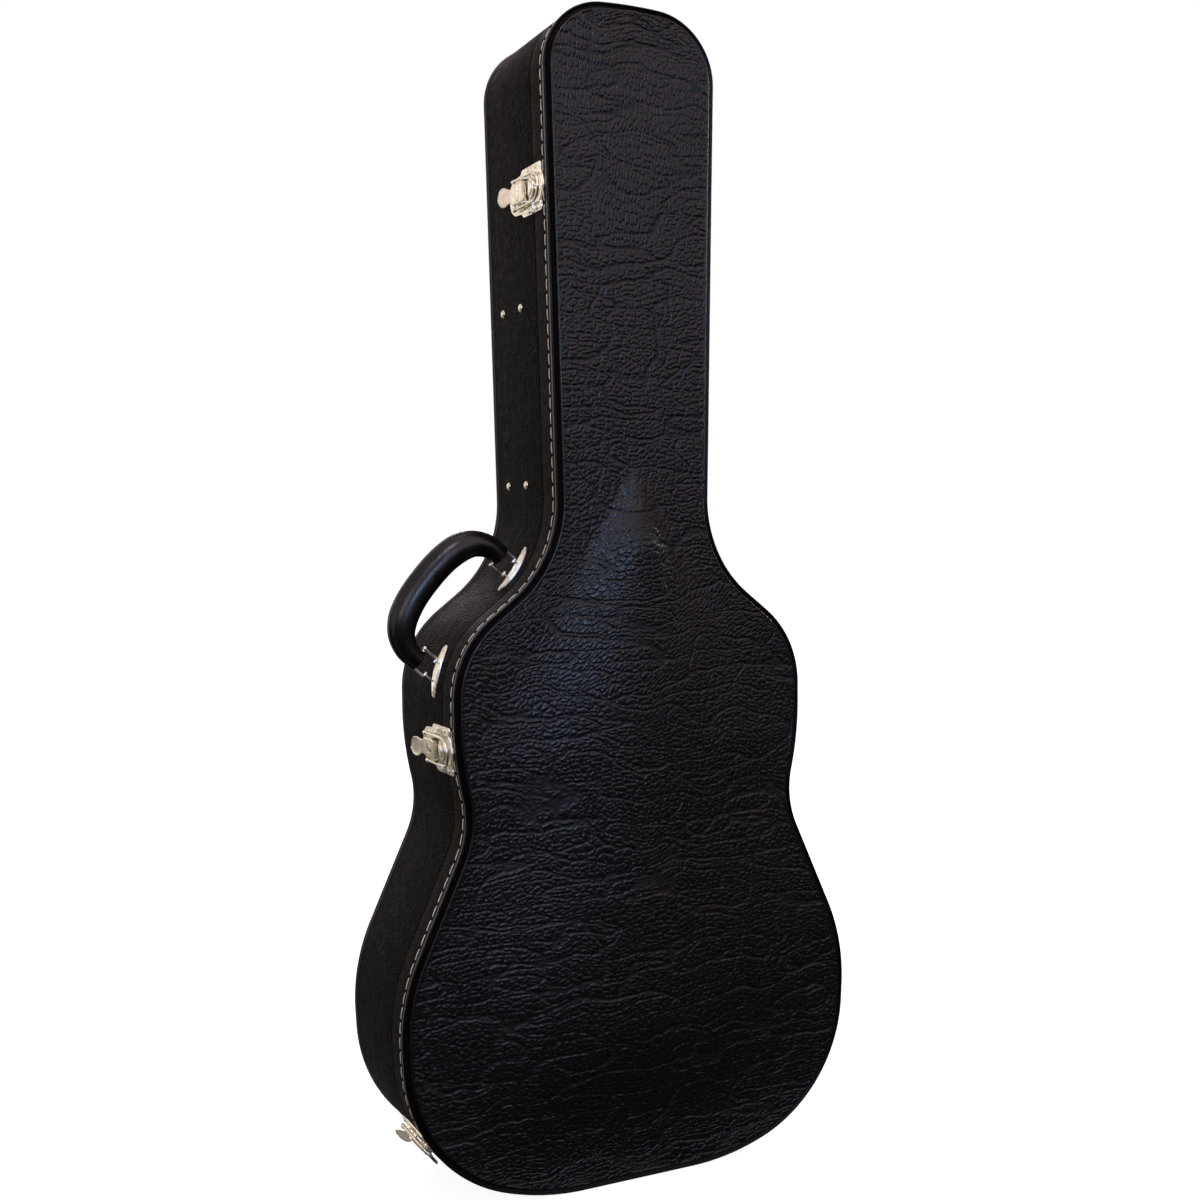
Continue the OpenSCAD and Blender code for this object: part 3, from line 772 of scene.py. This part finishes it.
def latch_base(place):
    """Stamped plate with the two ears that hold the lever's pin."""
    bent = plate_layers(BASE_PLATE, 2.2, 2.1)
    bent += [stamped(rounded(BASE_UPPER, 2), 1.2, 2.3, 0.5, SLICES), *seam_ribs(1, 2.4)]
    parts = [place.put(p, True) for p in bent]
    for side in (-1, 1):
        flat, faces = stamped(rounded(LEVER_EAR, 2), -0.8, 0.8, 0.3)
        turned = np.column_stack([flat[:, 0], side * 10.6 + flat[:, 2], flat[:, 1]])
        parts.append(place.put((turned, faces)))
        parts.append(place.put(rib(16.5, 24, side * 14.4 - 1.4, side * 14.4 + 1.4, 1.2, 3.2, 0.7)))
    return join(*parts)


def latch_catch(place):
    """Plate on the lid with the hook that the bail goes round."""
    parts = [place.put(p, True) for p in plate_layers(CATCH_PLATE, 1.6, 2.0) + seam_ribs(-2.4, -1)]
    for radius, low, high, edge in HOOK_LAYERS:
        plan = arc(-1.4, 0, radius, math.pi / 2, 3 * math.pi / 2, 17)
        parts.append(place.put(stamped(rounded(plan, 0.6, 3), low, high, edge)))
    return join(*parts)


# Lever from its pivot to its tip: distance from the seam and half width, or height
LEVER_PLAN = [(7.2, 8.6), (9, 9.2), (20, 9.3), (31, 9.2), (34, 8.6), (36.4, 6.9), (38, 6.6), (39.6, 7.4),
              (42, 8.8), (44.5, 9.2), (47, 8.6), (49, 6.8), (50.3, 4.2), (50.9, 0.9)]
LEVER_TOP = [(7.2, 6.2), (8.6, 7.4), (11, 8.0), (13.6, 7.6), (14.6, 6.9), (17, 6.9), (18, 7.6),
             (19.4, 7.6), (20.4, 6.9), (25.5, 6.9), (26.5, 7.6), (27.9, 7.6), (28.9, 6.9), (33, 7.0),
             (36, 7.6), (38, 8.6), (41, 10.3), (44.5, 12.1), (47.5, 13.6), (50.9, 15.0)]
LEVER_SHEET = 1.3
LOCK_X = 22


def lock_circle(radius):
    return arc(LOCK_X, 0, radius, 0, 2 * math.pi, 33)[:-1]


def latch_lever(place, locked):
    """Lever of folded sheet with its two cross pins, and a ring for the lock or a raised bar."""
    x = np.concatenate([np.linspace(7.2, 33, 60), np.linspace(33.3, 50.9, 50)])
    half = np.interp(x, *zip(*LEVER_PLAN))
    top = np.interp(x, *zip(*LEVER_TOP))
    kernel = np.array([1, 2, 3, 2, 1]) / 9
    top = np.convolve(np.pad(top, 2, mode="edge"), kernel, mode="valid")
    fold = 2.6 * ease((34.5 - x) / 2.5) * ease((x - 7) / 1.5)
    dish = 0.9 * ease((x - 38) / 5)
    rings = []
    across = np.linspace(-1, 1, 15)
    for xi, w, h, f, d in zip(x, half, top, fold, dish):
        bulge = 0.35 * (1 - across ** 2) * (f > 0.1) - d * (1 - across ** 4) * 0.6
        upper = np.column_stack([np.full(15, xi), across * (w - 0.5), h + bulge])
        sides = [(xi, w, h - 0.5), (xi, w, h - 0.8 - f), (xi, w - 1, h - 0.8 - f),
                 (xi, w - 1.1, h - LEVER_SHEET)]
        lower = upper[::-1] - [0, 0, LEVER_SHEET]
        lower[:, 1] *= (w - 1.4) / max(w - 0.5, 0.1)
        left = [(a, -b, c) for a, b, c in reversed(sides)]
        rings.append(np.concatenate([upper, sides, lower, left]))
    parts = [loft(rings)]
    parts.append(tube([(PIVOT_X, y, PIVOT_Z) for y in (-8.8, 0, 8.8)], 2.1, 18))
    parts.append(tube([(HOOK_X - 0.5, y, PIVOT_Z) for y in (-8.0, 0, 8.0)], 1.5, 18))
    if locked:
        parts.append(tube([(*p, 7.3) for p in lock_circle(5.0)], 0.6, 8, closed=True))
    else:
        parts.append(rib(21.2, 24.6, -6.8, 6.8, 6.4, 7.7, 0.6))
    return join(*(place.put(p) for p in parts))


def latch_bail(place):
    """D-shaped wire from the lever's pins round the hook."""
    path = [(HOOK_X, 7.5, PIVOT_Z), (HOOK_X, 10, PIVOT_Z), (HOOK_X, BAIL_HALF - 1, PIVOT_Z),
            (HOOK_X - 1.4, BAIL_HALF, PIVOT_Z)]
    path += [(x, BAIL_HALF, PIVOT_Z) for x in (28, 20, 10, 0, -6)]
    path += [(*p, PIVOT_Z) for p in arc(-9, 0, BAIL_HALF, math.pi / 2, math.pi, 9)[:-1]]
    path.append((-9 - BAIL_HALF, 0, PIVOT_Z))
    path += [(x, -y, z) for x, y, z in reversed(path[:-1])]
    parts = [tube(smooth_path(path, 110), BAIL_R, 12)]
    for side in (-1, 1):
        parts.append(tube([(x, side * BAIL_HALF, PIVOT_Z) for x in (30.5, 33, 35.5)], 2.0, 14))
    return join(*(place.put(p) for p in parts))


def lock_face(place):
    """Barrel of the lock, and a small bar at its foot."""
    parts = [stamped(np.array(lock_circle(4.0)), 3.2, 7.7, 0.35), rib(20, 28, -1.8, 1.8, 2.7, 3.3, 0.3)]
    return join(*(place.put(p) for p in parts))


# A flat near-black bar laid on the lock's face where the keyway slot is: painted shade, not a cut slot.
def keyway(place):
    slot = [(LOCK_X - 2.2 * math.sin(t), 1.7 * t / 1.6, 7.62) for t in np.linspace(-1.6, 1.6, 15)]
    return place.put(tube(slot, 0.45, 8, squash=0.5))


BENDS = {"neck": None, "lock": UPPER_SIDE_R - PROUD, "foot": CORNER_R - PROUD}


def add_latches():
    for name, bend in BENDS.items():
        place = latch_place(name, bend)
        add_piece(f"{name}_latch_base", latch_base(place), "base", NICKEL, [f"{name}_latch_plate"],
                  sharp=32)
        add_piece(f"{name}_latch_hook", latch_catch(place), "lid", NICKEL, [f"{name}_latch_catch"],
                  sharp=32)
        add_piece(f"{name}_lever_formed", latch_lever(place, name == "lock"), f"{name}_lever", NICKEL,
                  [f"{name}_latch_lever"], sharp=50)
        add_piece(f"{name}_bail_wire", latch_bail(place), f"{name}_bail", NICKEL, [f"{name}_latch_bail"])
        heads, catch_heads = [], []
        for side in (-1, 1):
            heads += [place.put(domed(8, side * RIVET_Y, 1.4, 2.5, 1.2), True),
                      place.put(domed(46, side * 9, 1.4, 1.8, 0.9), True)]
            catch_heads.append(place.put(domed(-9, side * RIVET_Y, 1.4, 2.5, 1.2), True))
        add_piece(f"{name}_base_rivet_heads", join(*heads), "base", NICKEL, ["latch_plate_rivets"])
        add_piece(f"{name}_catch_rivet_heads", join(*catch_heads), "lid", NICKEL, ["catch_rivets"])
        if name == "lock":
            face = lock_face(place)
            add_piece("lock_barrel_face", face, "lock_cylinder", STEEL, ["lock_cylinder"], sharp=32)
            add_piece("lock_keyway_shade", keyway(place), "lock_cylinder", KEYWAY_SHADE)


# ---- handle
HANDLE = JOINTS["handle_swing"]
SWING_AT = np.array(HANDLE["pos_m"], float) / MM
SWING_X = unit(np.array(HANDLE["axis"], float))
SWING_Z = np.array([SWING_X[2], 0, -SWING_X[0]])
SWING_Y = np.cross(SWING_Z, SWING_X)
LUG_OFF = 8.0        # from the middle of a plate to each lug of the CAD
LUG_T = 3.0
WIRE_R = 1.3
LINK_LEG = 10.1      # from the middle of a plate to each wire leg
LINK_REACH = 15.0
GRIP_END_R, GRIP_R, GRIP_RISE = 10.0, 14.0, 55.0
# Middle line of the grip's first half: share of its half length, height over the swing line
GRIP_SHAPE = [(-1, 11.5), (-1, 20), (-0.97, 30), (-0.86, GRIP_RISE - 14), (-0.68, GRIP_RISE - 6.5),
              (-0.45, GRIP_RISE - 2.2), (-0.22, GRIP_RISE - 0.4), (0, GRIP_RISE)]


def on_handle(mesh):
    local = np.asarray(mesh[0], float)
    return SWING_AT + local @ np.array([SWING_X, SWING_Y, SWING_Z]), mesh[1]


def swing_half():
    """Half of the distance between the two lug pairs, from the outermost wire of the CAD links."""
    points = np.array([v.co for v in frame["nodes"]["handle_links"].data.vertices]) / MM
    along = (points - SWING_AT) @ SWING_X
    outer_leg = LUG_OFF + LUG_T / 2 + 0.4 + WIRE_R
    ball_r = WIRE_R + 0.8
    return (along.max() - along.min()) / 2 - outer_leg - ball_r


SWING_HALF = swing_half()


def grip_radius(from_end):
    """The grip swells from its ends to its middle."""
    return GRIP_END_R + (GRIP_R - GRIP_END_R) * ease(from_end / 52)


def add_grip():
    """Leather grip with a raised seam along its outside, and the two threads of the seam."""
    half = SWING_HALF + 2
    left = [(x * half, z) for x, z in GRIP_SHAPE]
    path = smooth_path(left + [(-x, z) for x, z in reversed(left[:-1])], 150)
    normals = [unit(np.array([-t[1], t[0]])) for t in np.gradient(path, axis=0)]
    s = np.concatenate([[0], np.cumsum(np.linalg.norm(np.diff(path, axis=0), axis=1))])
    stations = list(zip(path, normals, np.minimum(s, s[-1] - s)))
    sides = 72
    angles = np.arange(sides) * 2 * math.pi / sides
    top = math.pi / 2
    rings = []
    for p, normal, from_end in stations:
        radius = grip_radius(from_end)
        off = np.abs((angles - top + math.pi) % (2 * math.pi) - math.pi) * radius
        seam = 1.0 * ease(1 - (off - 3.0) / 1.2) - 1.3 * ease(1 - off / 0.8)
        pinch = -0.8 * ease(1 - np.abs(off - 5.2) / 1.6)
        end = -1.6 * (1 - math.sqrt(max(0, 1 - (1 - min(from_end / 1.6, 1)) ** 2)))
        r = radius + seam + pinch + end - 0.6
        u, v = r * np.sin(angles), r * np.cos(angles)
        rings.append(np.column_stack([p[0] + normal[0] * u, v, p[1] + normal[1] * u]))
    add_piece("grip_cover", on_handle(loft(rings)), "handle", LEATHER, ["handle_grip"], sharp=60)
    parts = []
    for offset in (2.9, -2.9):
        thread = []
        for p, normal, from_end in stations[8:142]:
            r = grip_radius(from_end) - 0.35
            angle = top + offset / r * 2.1
            u, v = r * math.sin(angle), r * math.cos(angle)
            thread.append((p[0] + normal[0] * u, v, p[1] + normal[1] * u))
        parts.append(tube(thread, 0.28, 6))
    add_piece("grip_seam_thread", on_handle(join(*parts)), "handle", LEATHER)


def add_links():
    """Two wire legs at each end, from the lugs to the balls and the cross wire in the grip's end."""
    parts = []
    share = np.linspace(0, 1, 9)
    for x0 in (-SWING_HALF, SWING_HALF):
        for side in (-1, 1):
            leg = x0 + side * LINK_LEG
            path = [(x0 + side * 6.0, 0, 0), (leg - side * 0.9, 0, 0), (leg, 0, 0.9), (leg, 0, 5),
                    (leg, 0, LINK_REACH)]
            parts.append(tube(smooth_path(path, 40), WIRE_R * 0.85, 12))
            ball = [(leg + side * (3.8 * t - 1.9), 0, LINK_REACH) for t in share]
            size = [2.0 * math.sqrt(max(0.05, 1 - (2 * t - 1) ** 2)) for t in share]
            parts.append(tube(ball, size, 16))
        cross = [(x0 + x, 0, LINK_REACH) for x in (-LINK_LEG, 0, LINK_LEG)]
        parts.append(tube(cross, WIRE_R, 12))
    add_piece("grip_wire_links", on_handle(join(*parts)), "handle", NICKEL, ["handle_links"])


PLATE_HALF = [(-1.6, -25), (1.6, -25), (4.2, -20), (6.6, -10), (7, 0), (6.6, 10), (4.2, 20)]
PLATE_OUTLINE = PLATE_HALF + [(-x, -y) for x, y in PLATE_HALF]


def add_handle_plates():
    """Pointed plates with two lugs each, on the hollow neck foot and the round shoulder."""
    outline = rounded(PLATE_OUTLINE, 1.6)
    cuts = range(-24, 25, 3)
    for name, bend, end in (("upper", -(NECK_FOOT_R + PROUD), -1), ("lower", SHOULDER_R - PROUD, 1)):
        place = wall_place(f"handle_{name}_plate", bend)
        centre = SWING_AT + SWING_X * end * SWING_HALF
        parts = [place.put(stamped(outline, -0.6, 1.3, 0.5, cuts), True)]
        for side in (-1, 1):
            channel = rounded([(-1.0, side * 11), (1.0, side * 11), (1.6, side * 15), (1.2, side * 22),
                               (-1.2, side * 22), (-1.6, side * 15)], 0.6)
            parts.append(place.put(stamped(channel, 1.1, 1.7, 0.3, cuts), True))
            parts.append(place.put(domed(0, side * 19.6, 1.4, 2.3, 1.0), True))
        ridge = shrink(outline, 1.5)
        rim_path = np.column_stack([ridge, np.full(len(ridge), 1.35)])
        parts.append(place.put(tube(rim_path, 0.55, 6, closed=True), True))
        low = (place.origin - centre) @ SWING_Z
        for side in (-1, 1):
            lug = [(-1.8, low - 3), (1.8, low - 3), (1.0, 0.2), (0.5, 0.7), (-0.5, 0.7), (-1.0, 0.2)]
            flat, faces = stamped(rounded(lug, 0.8), -0.5, 0.5, 0.2)
            x = end * SWING_HALF + side * LUG_OFF + flat[:, 2]
            parts.append(on_handle((np.column_stack([x, flat[:, 0], flat[:, 1]]), faces)))
        add_piece(f"handle_{name}_mount", join(*parts), "base", NICKEL, [f"handle_{name}_plate"],
                  sharp=35)


# ---- inside
def floor_face(x, z, half_w, distance):
    """Plush floor: soft waves, and a rounded tuck where it meets the walls."""
    tuck = 3.2 * (1 - ease(distance / 11)) ** 2
    waves = 0.7 * value_noise(x / 55, z / 55, 2) + 0.25 * value_noise(x / 17, z / 17, 3)
    return FLOOR_TOP + 0.6 + tuck + waves * ease(distance / 11)


LID_PAD_IN = box_mm("lid_padding")


def lid_face(x, z, half_w, distance):
    """Lid lining: it follows the arch a little and is pulled down along its edge."""
    tuck = 3.0 * (1 - ease(distance / 11)) ** 2
    waves = 0.6 * value_noise(x / 50, z / 50, 1) + 0.25 * value_noise(x / 16, z / 16, 2)
    sink = 0.12 * arch(x, z, half_w)
    return LID_PAD_IN[1][1] - 0.6 - tuck - sink + waves * ease(distance / 11)


SEAM_GAP = 176.0     # between two seams of the lining


def lining_strip(keep, inset, thick, name, node_name):
    """Padded lining along part of the side wall, gathered at seams."""
    top, bottom = SEAM + 4.4, FLOOR_TOP - 0.2
    run = np.linspace(0, len(keep) * RIM_STEP, len(keep))
    puff = 0.86 + 0.14 * np.abs(np.sin(math.pi * run / SEAM_GAP)) ** 0.5
    profile = [(0.02, bottom), (0.02, top + 3), (0.12, top + 0.9), (0.4, top), (0.7, top + 0.5),
               (0.92, top + 3.4), (1, top + 9), (1, 10), (1, 45), (0.98, bottom - 5), (0.9, bottom)]
    rows = np.stack([rim_points(inset + thick * share * puff, y, keep) for share, y in profile], axis=1)
    piece = add_piece(name, loft(list(rows)), "base", PLUSH, [node_name], sharp=60)


def smooth_mesh(verts, edges, rounds):
    """Moves each point towards the mean of its neighbours."""
    count = np.zeros(len(verts))
    np.add.at(count, edges.ravel(), 1)
    for _ in range(rounds):
        total = np.zeros_like(verts)
        np.add.at(total, edges[:, 0], verts[edges[:, 1]])
        np.add.at(total, edges[:, 1], verts[edges[:, 0]])
        verts = verts * 0.4 + 0.6 * total / count[:, None]
    return verts


def bake_modifiers(piece):
    graph = bpy.context.evaluated_depsgraph_get()
    mesh = bpy.data.meshes.new_from_object(piece.evaluated_get(graph))
    piece.modifiers.clear()
    piece.data = mesh


CLOTH_FRAMES = 14


def swell(piece, pressure, cap):
    """Cloth simulation with inner pressure and no gravity. No point moves further than cap."""
    before = np.array([v.co for v in piece.data.vertices])
    cloth = piece.modifiers.new("cloth", "CLOTH")
    cloth.settings.use_pressure = True
    cloth.settings.uniform_pressure_force = pressure
    cloth.settings.effector_weights.gravity = 0
    cloth.settings.quality = 5
    cloth.point_cache.frame_start, cloth.point_cache.frame_end = 1, CLOTH_FRAMES
    scene = bpy.context.scene
    for number in range(1, CLOTH_FRAMES + 1):
        scene.frame_set(number)
    bake_modifiers(piece)
    scene.frame_set(1)
    after = np.array([v.co for v in piece.data.vertices])
    move = after - before
    size = np.linalg.norm(move, axis=1, keepdims=True)
    after = before + move * np.minimum(1, cap / np.maximum(size, 1e-9))
    piece.data.vertices.foreach_set("co", after.astype(np.float32).ravel())


def soften(node_name, name, body, voxel, rounds, pressure=0.0, cap=3.0, shrink_by=0.0):
    """A padded piece from its CAD solid: remeshed, swollen by cloth under pressure, and smoothed."""
    piece = new_object(name, frame["nodes"][node_name].data.copy())
    remesh = piece.modifiers.new("remesh", "REMESH")
    remesh.mode = "VOXEL"
    remesh.voxel_size = voxel * MM
    bake_modifiers(piece)
    edges = np.array([e.vertices[:] for e in piece.data.edges])
    start = np.array([v.co for v in piece.data.vertices])
    verts = smooth_mesh(start, edges, rounds)
    if shrink_by:
        centre = (verts.max(0) + verts.min(0)) / 2
        half = (verts.max(0) - verts.min(0)) / 2
        verts = centre + (verts - centre) * (1 - shrink_by * MM / half)
    piece.data.vertices.foreach_set("co", verts.astype(np.float32).ravel())
    if pressure:
        swell(piece, pressure, cap * MM)
    verts = np.array([v.co for v in piece.data.vertices])
    low, high = (np.array(c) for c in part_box(node_name))
    verts = np.clip(smooth_mesh(verts, edges, 2), low, high)
    piece.data.vertices.foreach_set("co", verts.astype(np.float32).ravel())
    piece.data.shade_smooth()
    piece.data.materials.clear()
    piece.data.materials.append(PLUSH)
    piece.data.update()
    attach(piece, body)
    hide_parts(node_name)


BOUT_TOP, HEAD_BOTTOM = 589, 834


def add_inside():
    floor_mesh = panel(BEAD + 1, 5, 90, floor_face, FLOOR_BOTTOM)
    floor = add_piece("floor_plush", floor_mesh, "base", PLUSH, ["floor_padding"], sharp=70)
    lid_mesh = panel(BEAD + 1, 5, 90, lid_face, LID_PAD_IN[0][1])
    pad = add_piece("lid_plush", lid_mesh, "lid", PLUSH, ["lid_padding"], sharp=70)
    n = len(RIM)
    bout = np.array([i for i in range(n) if RIM[i][1] < BOUT_TOP])
    head = np.array([i for i in np.roll(np.arange(n), n // 2) if RIM[i][1] > HEAD_BOTTOM])
    lining_strip(bout, PROUD + 8.2, 13.5, "bout_lining", "body_padding")
    lining_strip(head, PROUD + 8.2, 8.6, "headstock_lining", "headstock_padding")
    soften("neck_cradle", "neck_rest", "base", 3.0, 6, pressure=3.0, cap=2.5, shrink_by=2.0)
    soften("compartment_lower_wall", "lower_board_plush", "base", 1.6, 3)
    soften("compartment_upper_wall", "upper_board_plush", "base", 1.6, 3)
    soften("compartment_lid", "flap_plush", "compartment_flap", 1.3, 2)


def add_flap_piping():
    """Piping near the edge of the compartment's lid, on its shown side."""
    low, high = box_mm("compartment_lid")
    inset = 2.4
    left, right, bottom, top = low[0] + inset, high[0] - inset, low[2] + inset, high[2] - inset
    outline = rounded([(left, bottom), (right, bottom), (right, top), (left, top)], 6, 6)
    path = np.column_stack([outline[:, 0], np.full(len(outline), low[1] + 0.35), outline[:, 1]])
    add_piece("flap_piping", tube(path, 0.9, 8, closed=True), "compartment_flap", BEAD_VINYL)


def add_pull_tab():
    """Leather tab with a round end, and its rivet."""
    low, high = box_mm("compartment_pull_tab")
    middle = (low[2] + high[2]) / 2
    reach, half = high[0] - low[0], (high[2] - low[2]) / 2
    end = arc(reach - half, 0, half, -math.pi / 2, math.pi / 2, 14)
    plan = [(0, -half * 0.9)] + end + [(0, half * 0.9)]
    flat, faces = stamped(rounded(plan, 1.0, 3), 0.0, high[1] - low[1], 0.4)
    tab = np.column_stack([low[0] + flat[:, 0], high[1] - flat[:, 2], middle + flat[:, 1]])
    add_piece("pull_tab_leather", (tab, faces), "compartment_flap", LEATHER, ["compartment_pull_tab"])
    head, faces = domed(7, 0, 0, 3, 1.2)
    rivet = np.column_stack([low[0] + head[:, 0], low[1] + 0.2 - head[:, 2], middle + head[:, 1]])
    add_piece("pull_tab_rivet", (rivet, faces), "compartment_flap", NICKEL)


def add_flap_hinge():
    """Strip of cloth between the compartment's lid and the side wall, with a slight sag."""
    low, high = box_mm("compartment_lid")
    edge, wall = high[0], high[0] + 8.5
    x = np.linspace(edge - 10, wall, 16)
    sag = np.where(x > edge, 1.6 * np.sin(math.pi * (x - edge) / (wall - edge)), 0)
    rings = []
    for z in np.linspace(low[2] + 4, high[2] - 4, 40):
        upper = np.column_stack([x, low[1] - 0.5 + sag, np.full(len(x), z)])
        rings.append(np.concatenate([upper, upper[::-1] + [0, 0.45, 0]]))
    strip = add_piece("flap_cloth_hinge", loft(rings), None, PLUSH)
    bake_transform(strip)


# ---- CAD pieces that stay
STEEL_NODES = ("latch_pivot_pins", "hinge_pins")


def finish_cad_nodes():
    for name, obj in frame["nodes"].items():
        if obj.hide_render:
            continue
        obj.data.materials.clear()
        obj.data.materials.append(STEEL if name in STEEL_NODES else NICKEL)
        obj.data.shade_smooth()
        weld = obj.modifiers.new("weld", "WELD")
        weld.merge_threshold = 1e-5
        edge = obj.modifiers.new("edge", "BEVEL")
        edge.width = 0.0003
        edge.segments = 2
        edge.limit_method = "ANGLE"
        edge.angle_limit = math.radians(40)
        edge.harden_normals = True


# ---- stage
def area_light(name, at, aim, size, power, color):
    data = bpy.data.lights.new(name, "AREA")
    data.shape = "RECTANGLE"
    data.size, data.size_y = size
    data.energy = power
    data.color = color
    light = new_object(name, data)
    light.location = at
    light.rotation_euler = (Vector(aim) - Vector(at)).to_track_quat("-Z", "Y").to_euler()


def add_floor():
    """A white floor that the camera sees, and that neither lights the case nor is mirrored in it."""
    mesh = bpy.data.meshes.new("floor")
    mesh.from_pydata([(-9, -9, 0), (9, -9, 0), (9, 9, 0), (-9, 9, 0)], [], [(0, 1, 2, 3)])
    pale = new_material("stage_floor", (0.25, 0.25, 0.25), 0.9, 0.0)
    set_inputs(shader_of(pale), Emission_Color=(1, 1, 1, 1))
    near = texture(pale, "ShaderNodeTexGradient", (0.55, 0.55, 0.55), gradient_type="SPHERICAL")
    glow = node(pale, "ShaderNodeMapRange", From_Max=0.9, To_Min=1.0, To_Max=0.9)
    link(pale, near.outputs["Fac"], glow.inputs["Value"])
    link(pale, glow.outputs["Result"], shader_of(pale).inputs["Emission Strength"])
    mesh.materials.append(pale)
    obj = new_object("floor", mesh)
    obj.visible_diffuse = obj.visible_glossy = False


# Stops from -1 to 1 along the direction's Z and X, scaled to 0 and 1
SKY_COLORS = [(0.42, (0.012, 0.011, 0.012)), (0.5, (0.065, 0.057, 0.06)), (0.585, (1.12, 0.9, 0.93))]
SKY_STRENGTHS = [(0.4, 0.45), (0.62, 1.25), (0.78, 1.25), (0.93, 0.3)]


def add_world():
    """White to the camera. As light it is dark below and bright above, most of all on the right."""
    world = bpy.data.worlds.new("studio")
    world.use_nodes = True
    axes = node(world, "ShaderNodeSeparateXYZ")
    link(world, node(world, "ShaderNodeTexCoord").outputs["Generated"], axes.inputs[0])

    def along(axis, **limits):
        spread = node(world, "ShaderNodeMapRange", **limits)
        link(world, axes.outputs[axis], spread.inputs["Value"])
        return spread.outputs["Result"]

    sky = node(world, "ShaderNodeBackground")
    height = color_ramp(world, along("Z", From_Min=-1), SKY_COLORS)
    side = color_ramp(world, along("X", From_Min=-1), SKY_STRENGTHS)
    link(world, height, sky.inputs["Color"])
    link(world, side, sky.inputs["Strength"])
    behind = node(world, "ShaderNodeBackground", Color=(1.0, 0.95, 0.86, 1))
    link(world, along("Y", From_Min=-0.05, From_Max=0.5, To_Max=0.3), behind.inputs["Strength"])
    both = node(world, "ShaderNodeAddShader")
    link(world, sky.outputs[0], both.inputs[0])
    link(world, behind.outputs[0], both.inputs[1])
    shown = world.node_tree.nodes["Background"]
    set_inputs(shown, Color=(1, 1, 1, 1), Strength=1.0)
    mix = node(world, "ShaderNodeMixShader")
    link(world, node(world, "ShaderNodeLightPath").outputs["Is Camera Ray"], mix.inputs["Fac"])
    link(world, both.outputs[0], mix.inputs[1])
    link(world, shown.outputs[0], mix.inputs[2])
    link(world, mix.outputs[0], world.node_tree.nodes["World Output"].inputs["Surface"])
    bpy.context.scene.world = world
    bpy.context.scene.view_settings.view_transform = "Standard"


# name, place, aim, size, power, colour. The blue window is what the ridge's flank mirrors.
LIGHTS = [
    ("window_light", (-0.35, -2.4, 1.1), (0, 0, 0.6), (0.4, 0.6), 16, (0.3, 0.55, 1.0)),
    ("left_light", (-1.9, -1.7, 1.5), (0, 0, 0.55), (0.5, 0.7), 11, (0.95, 0.96, 1.0)),
    ("left_card", (-2.6, 0.4, 0.7), (-0.1, 0, 0.6), (1.2, 1.4), 4, (1.0, 0.95, 0.84)),
    ("side_card", (-1.5, 2.1, 0.9), (-0.1, 0, 0.6), (2.2, 1.8), 5.5, (1.0, 0.95, 0.84)),
    ("right_light", (2.4, 0.6, 1.6), (0, 0, 0.55), (0.9, 0.9), 55, (1.0, 0.96, 0.92)),
    ("back_light", (0.9, 2.6, 1.4), (0, 0, 0.55), (0.9, 0.9), 28, (1.0, 0.97, 0.94)),
    ("high_light", (-0.8, -1.3, 2.7), (0, 0, 0.6), (0.5, 0.5), 14, (1.0, 0.94, 0.99)),
]


# ---- make it all
add_camera()
add_hide_panels()
add_rims()
add_stitches()
add_latches()
add_grip()
add_links()
add_handle_plates()
add_inside()
add_flap_piping()
add_pull_tab()
add_flap_hinge()
finish_cad_nodes()
add_floor()
add_world()
for light in LIGHTS:
    area_light(*light)
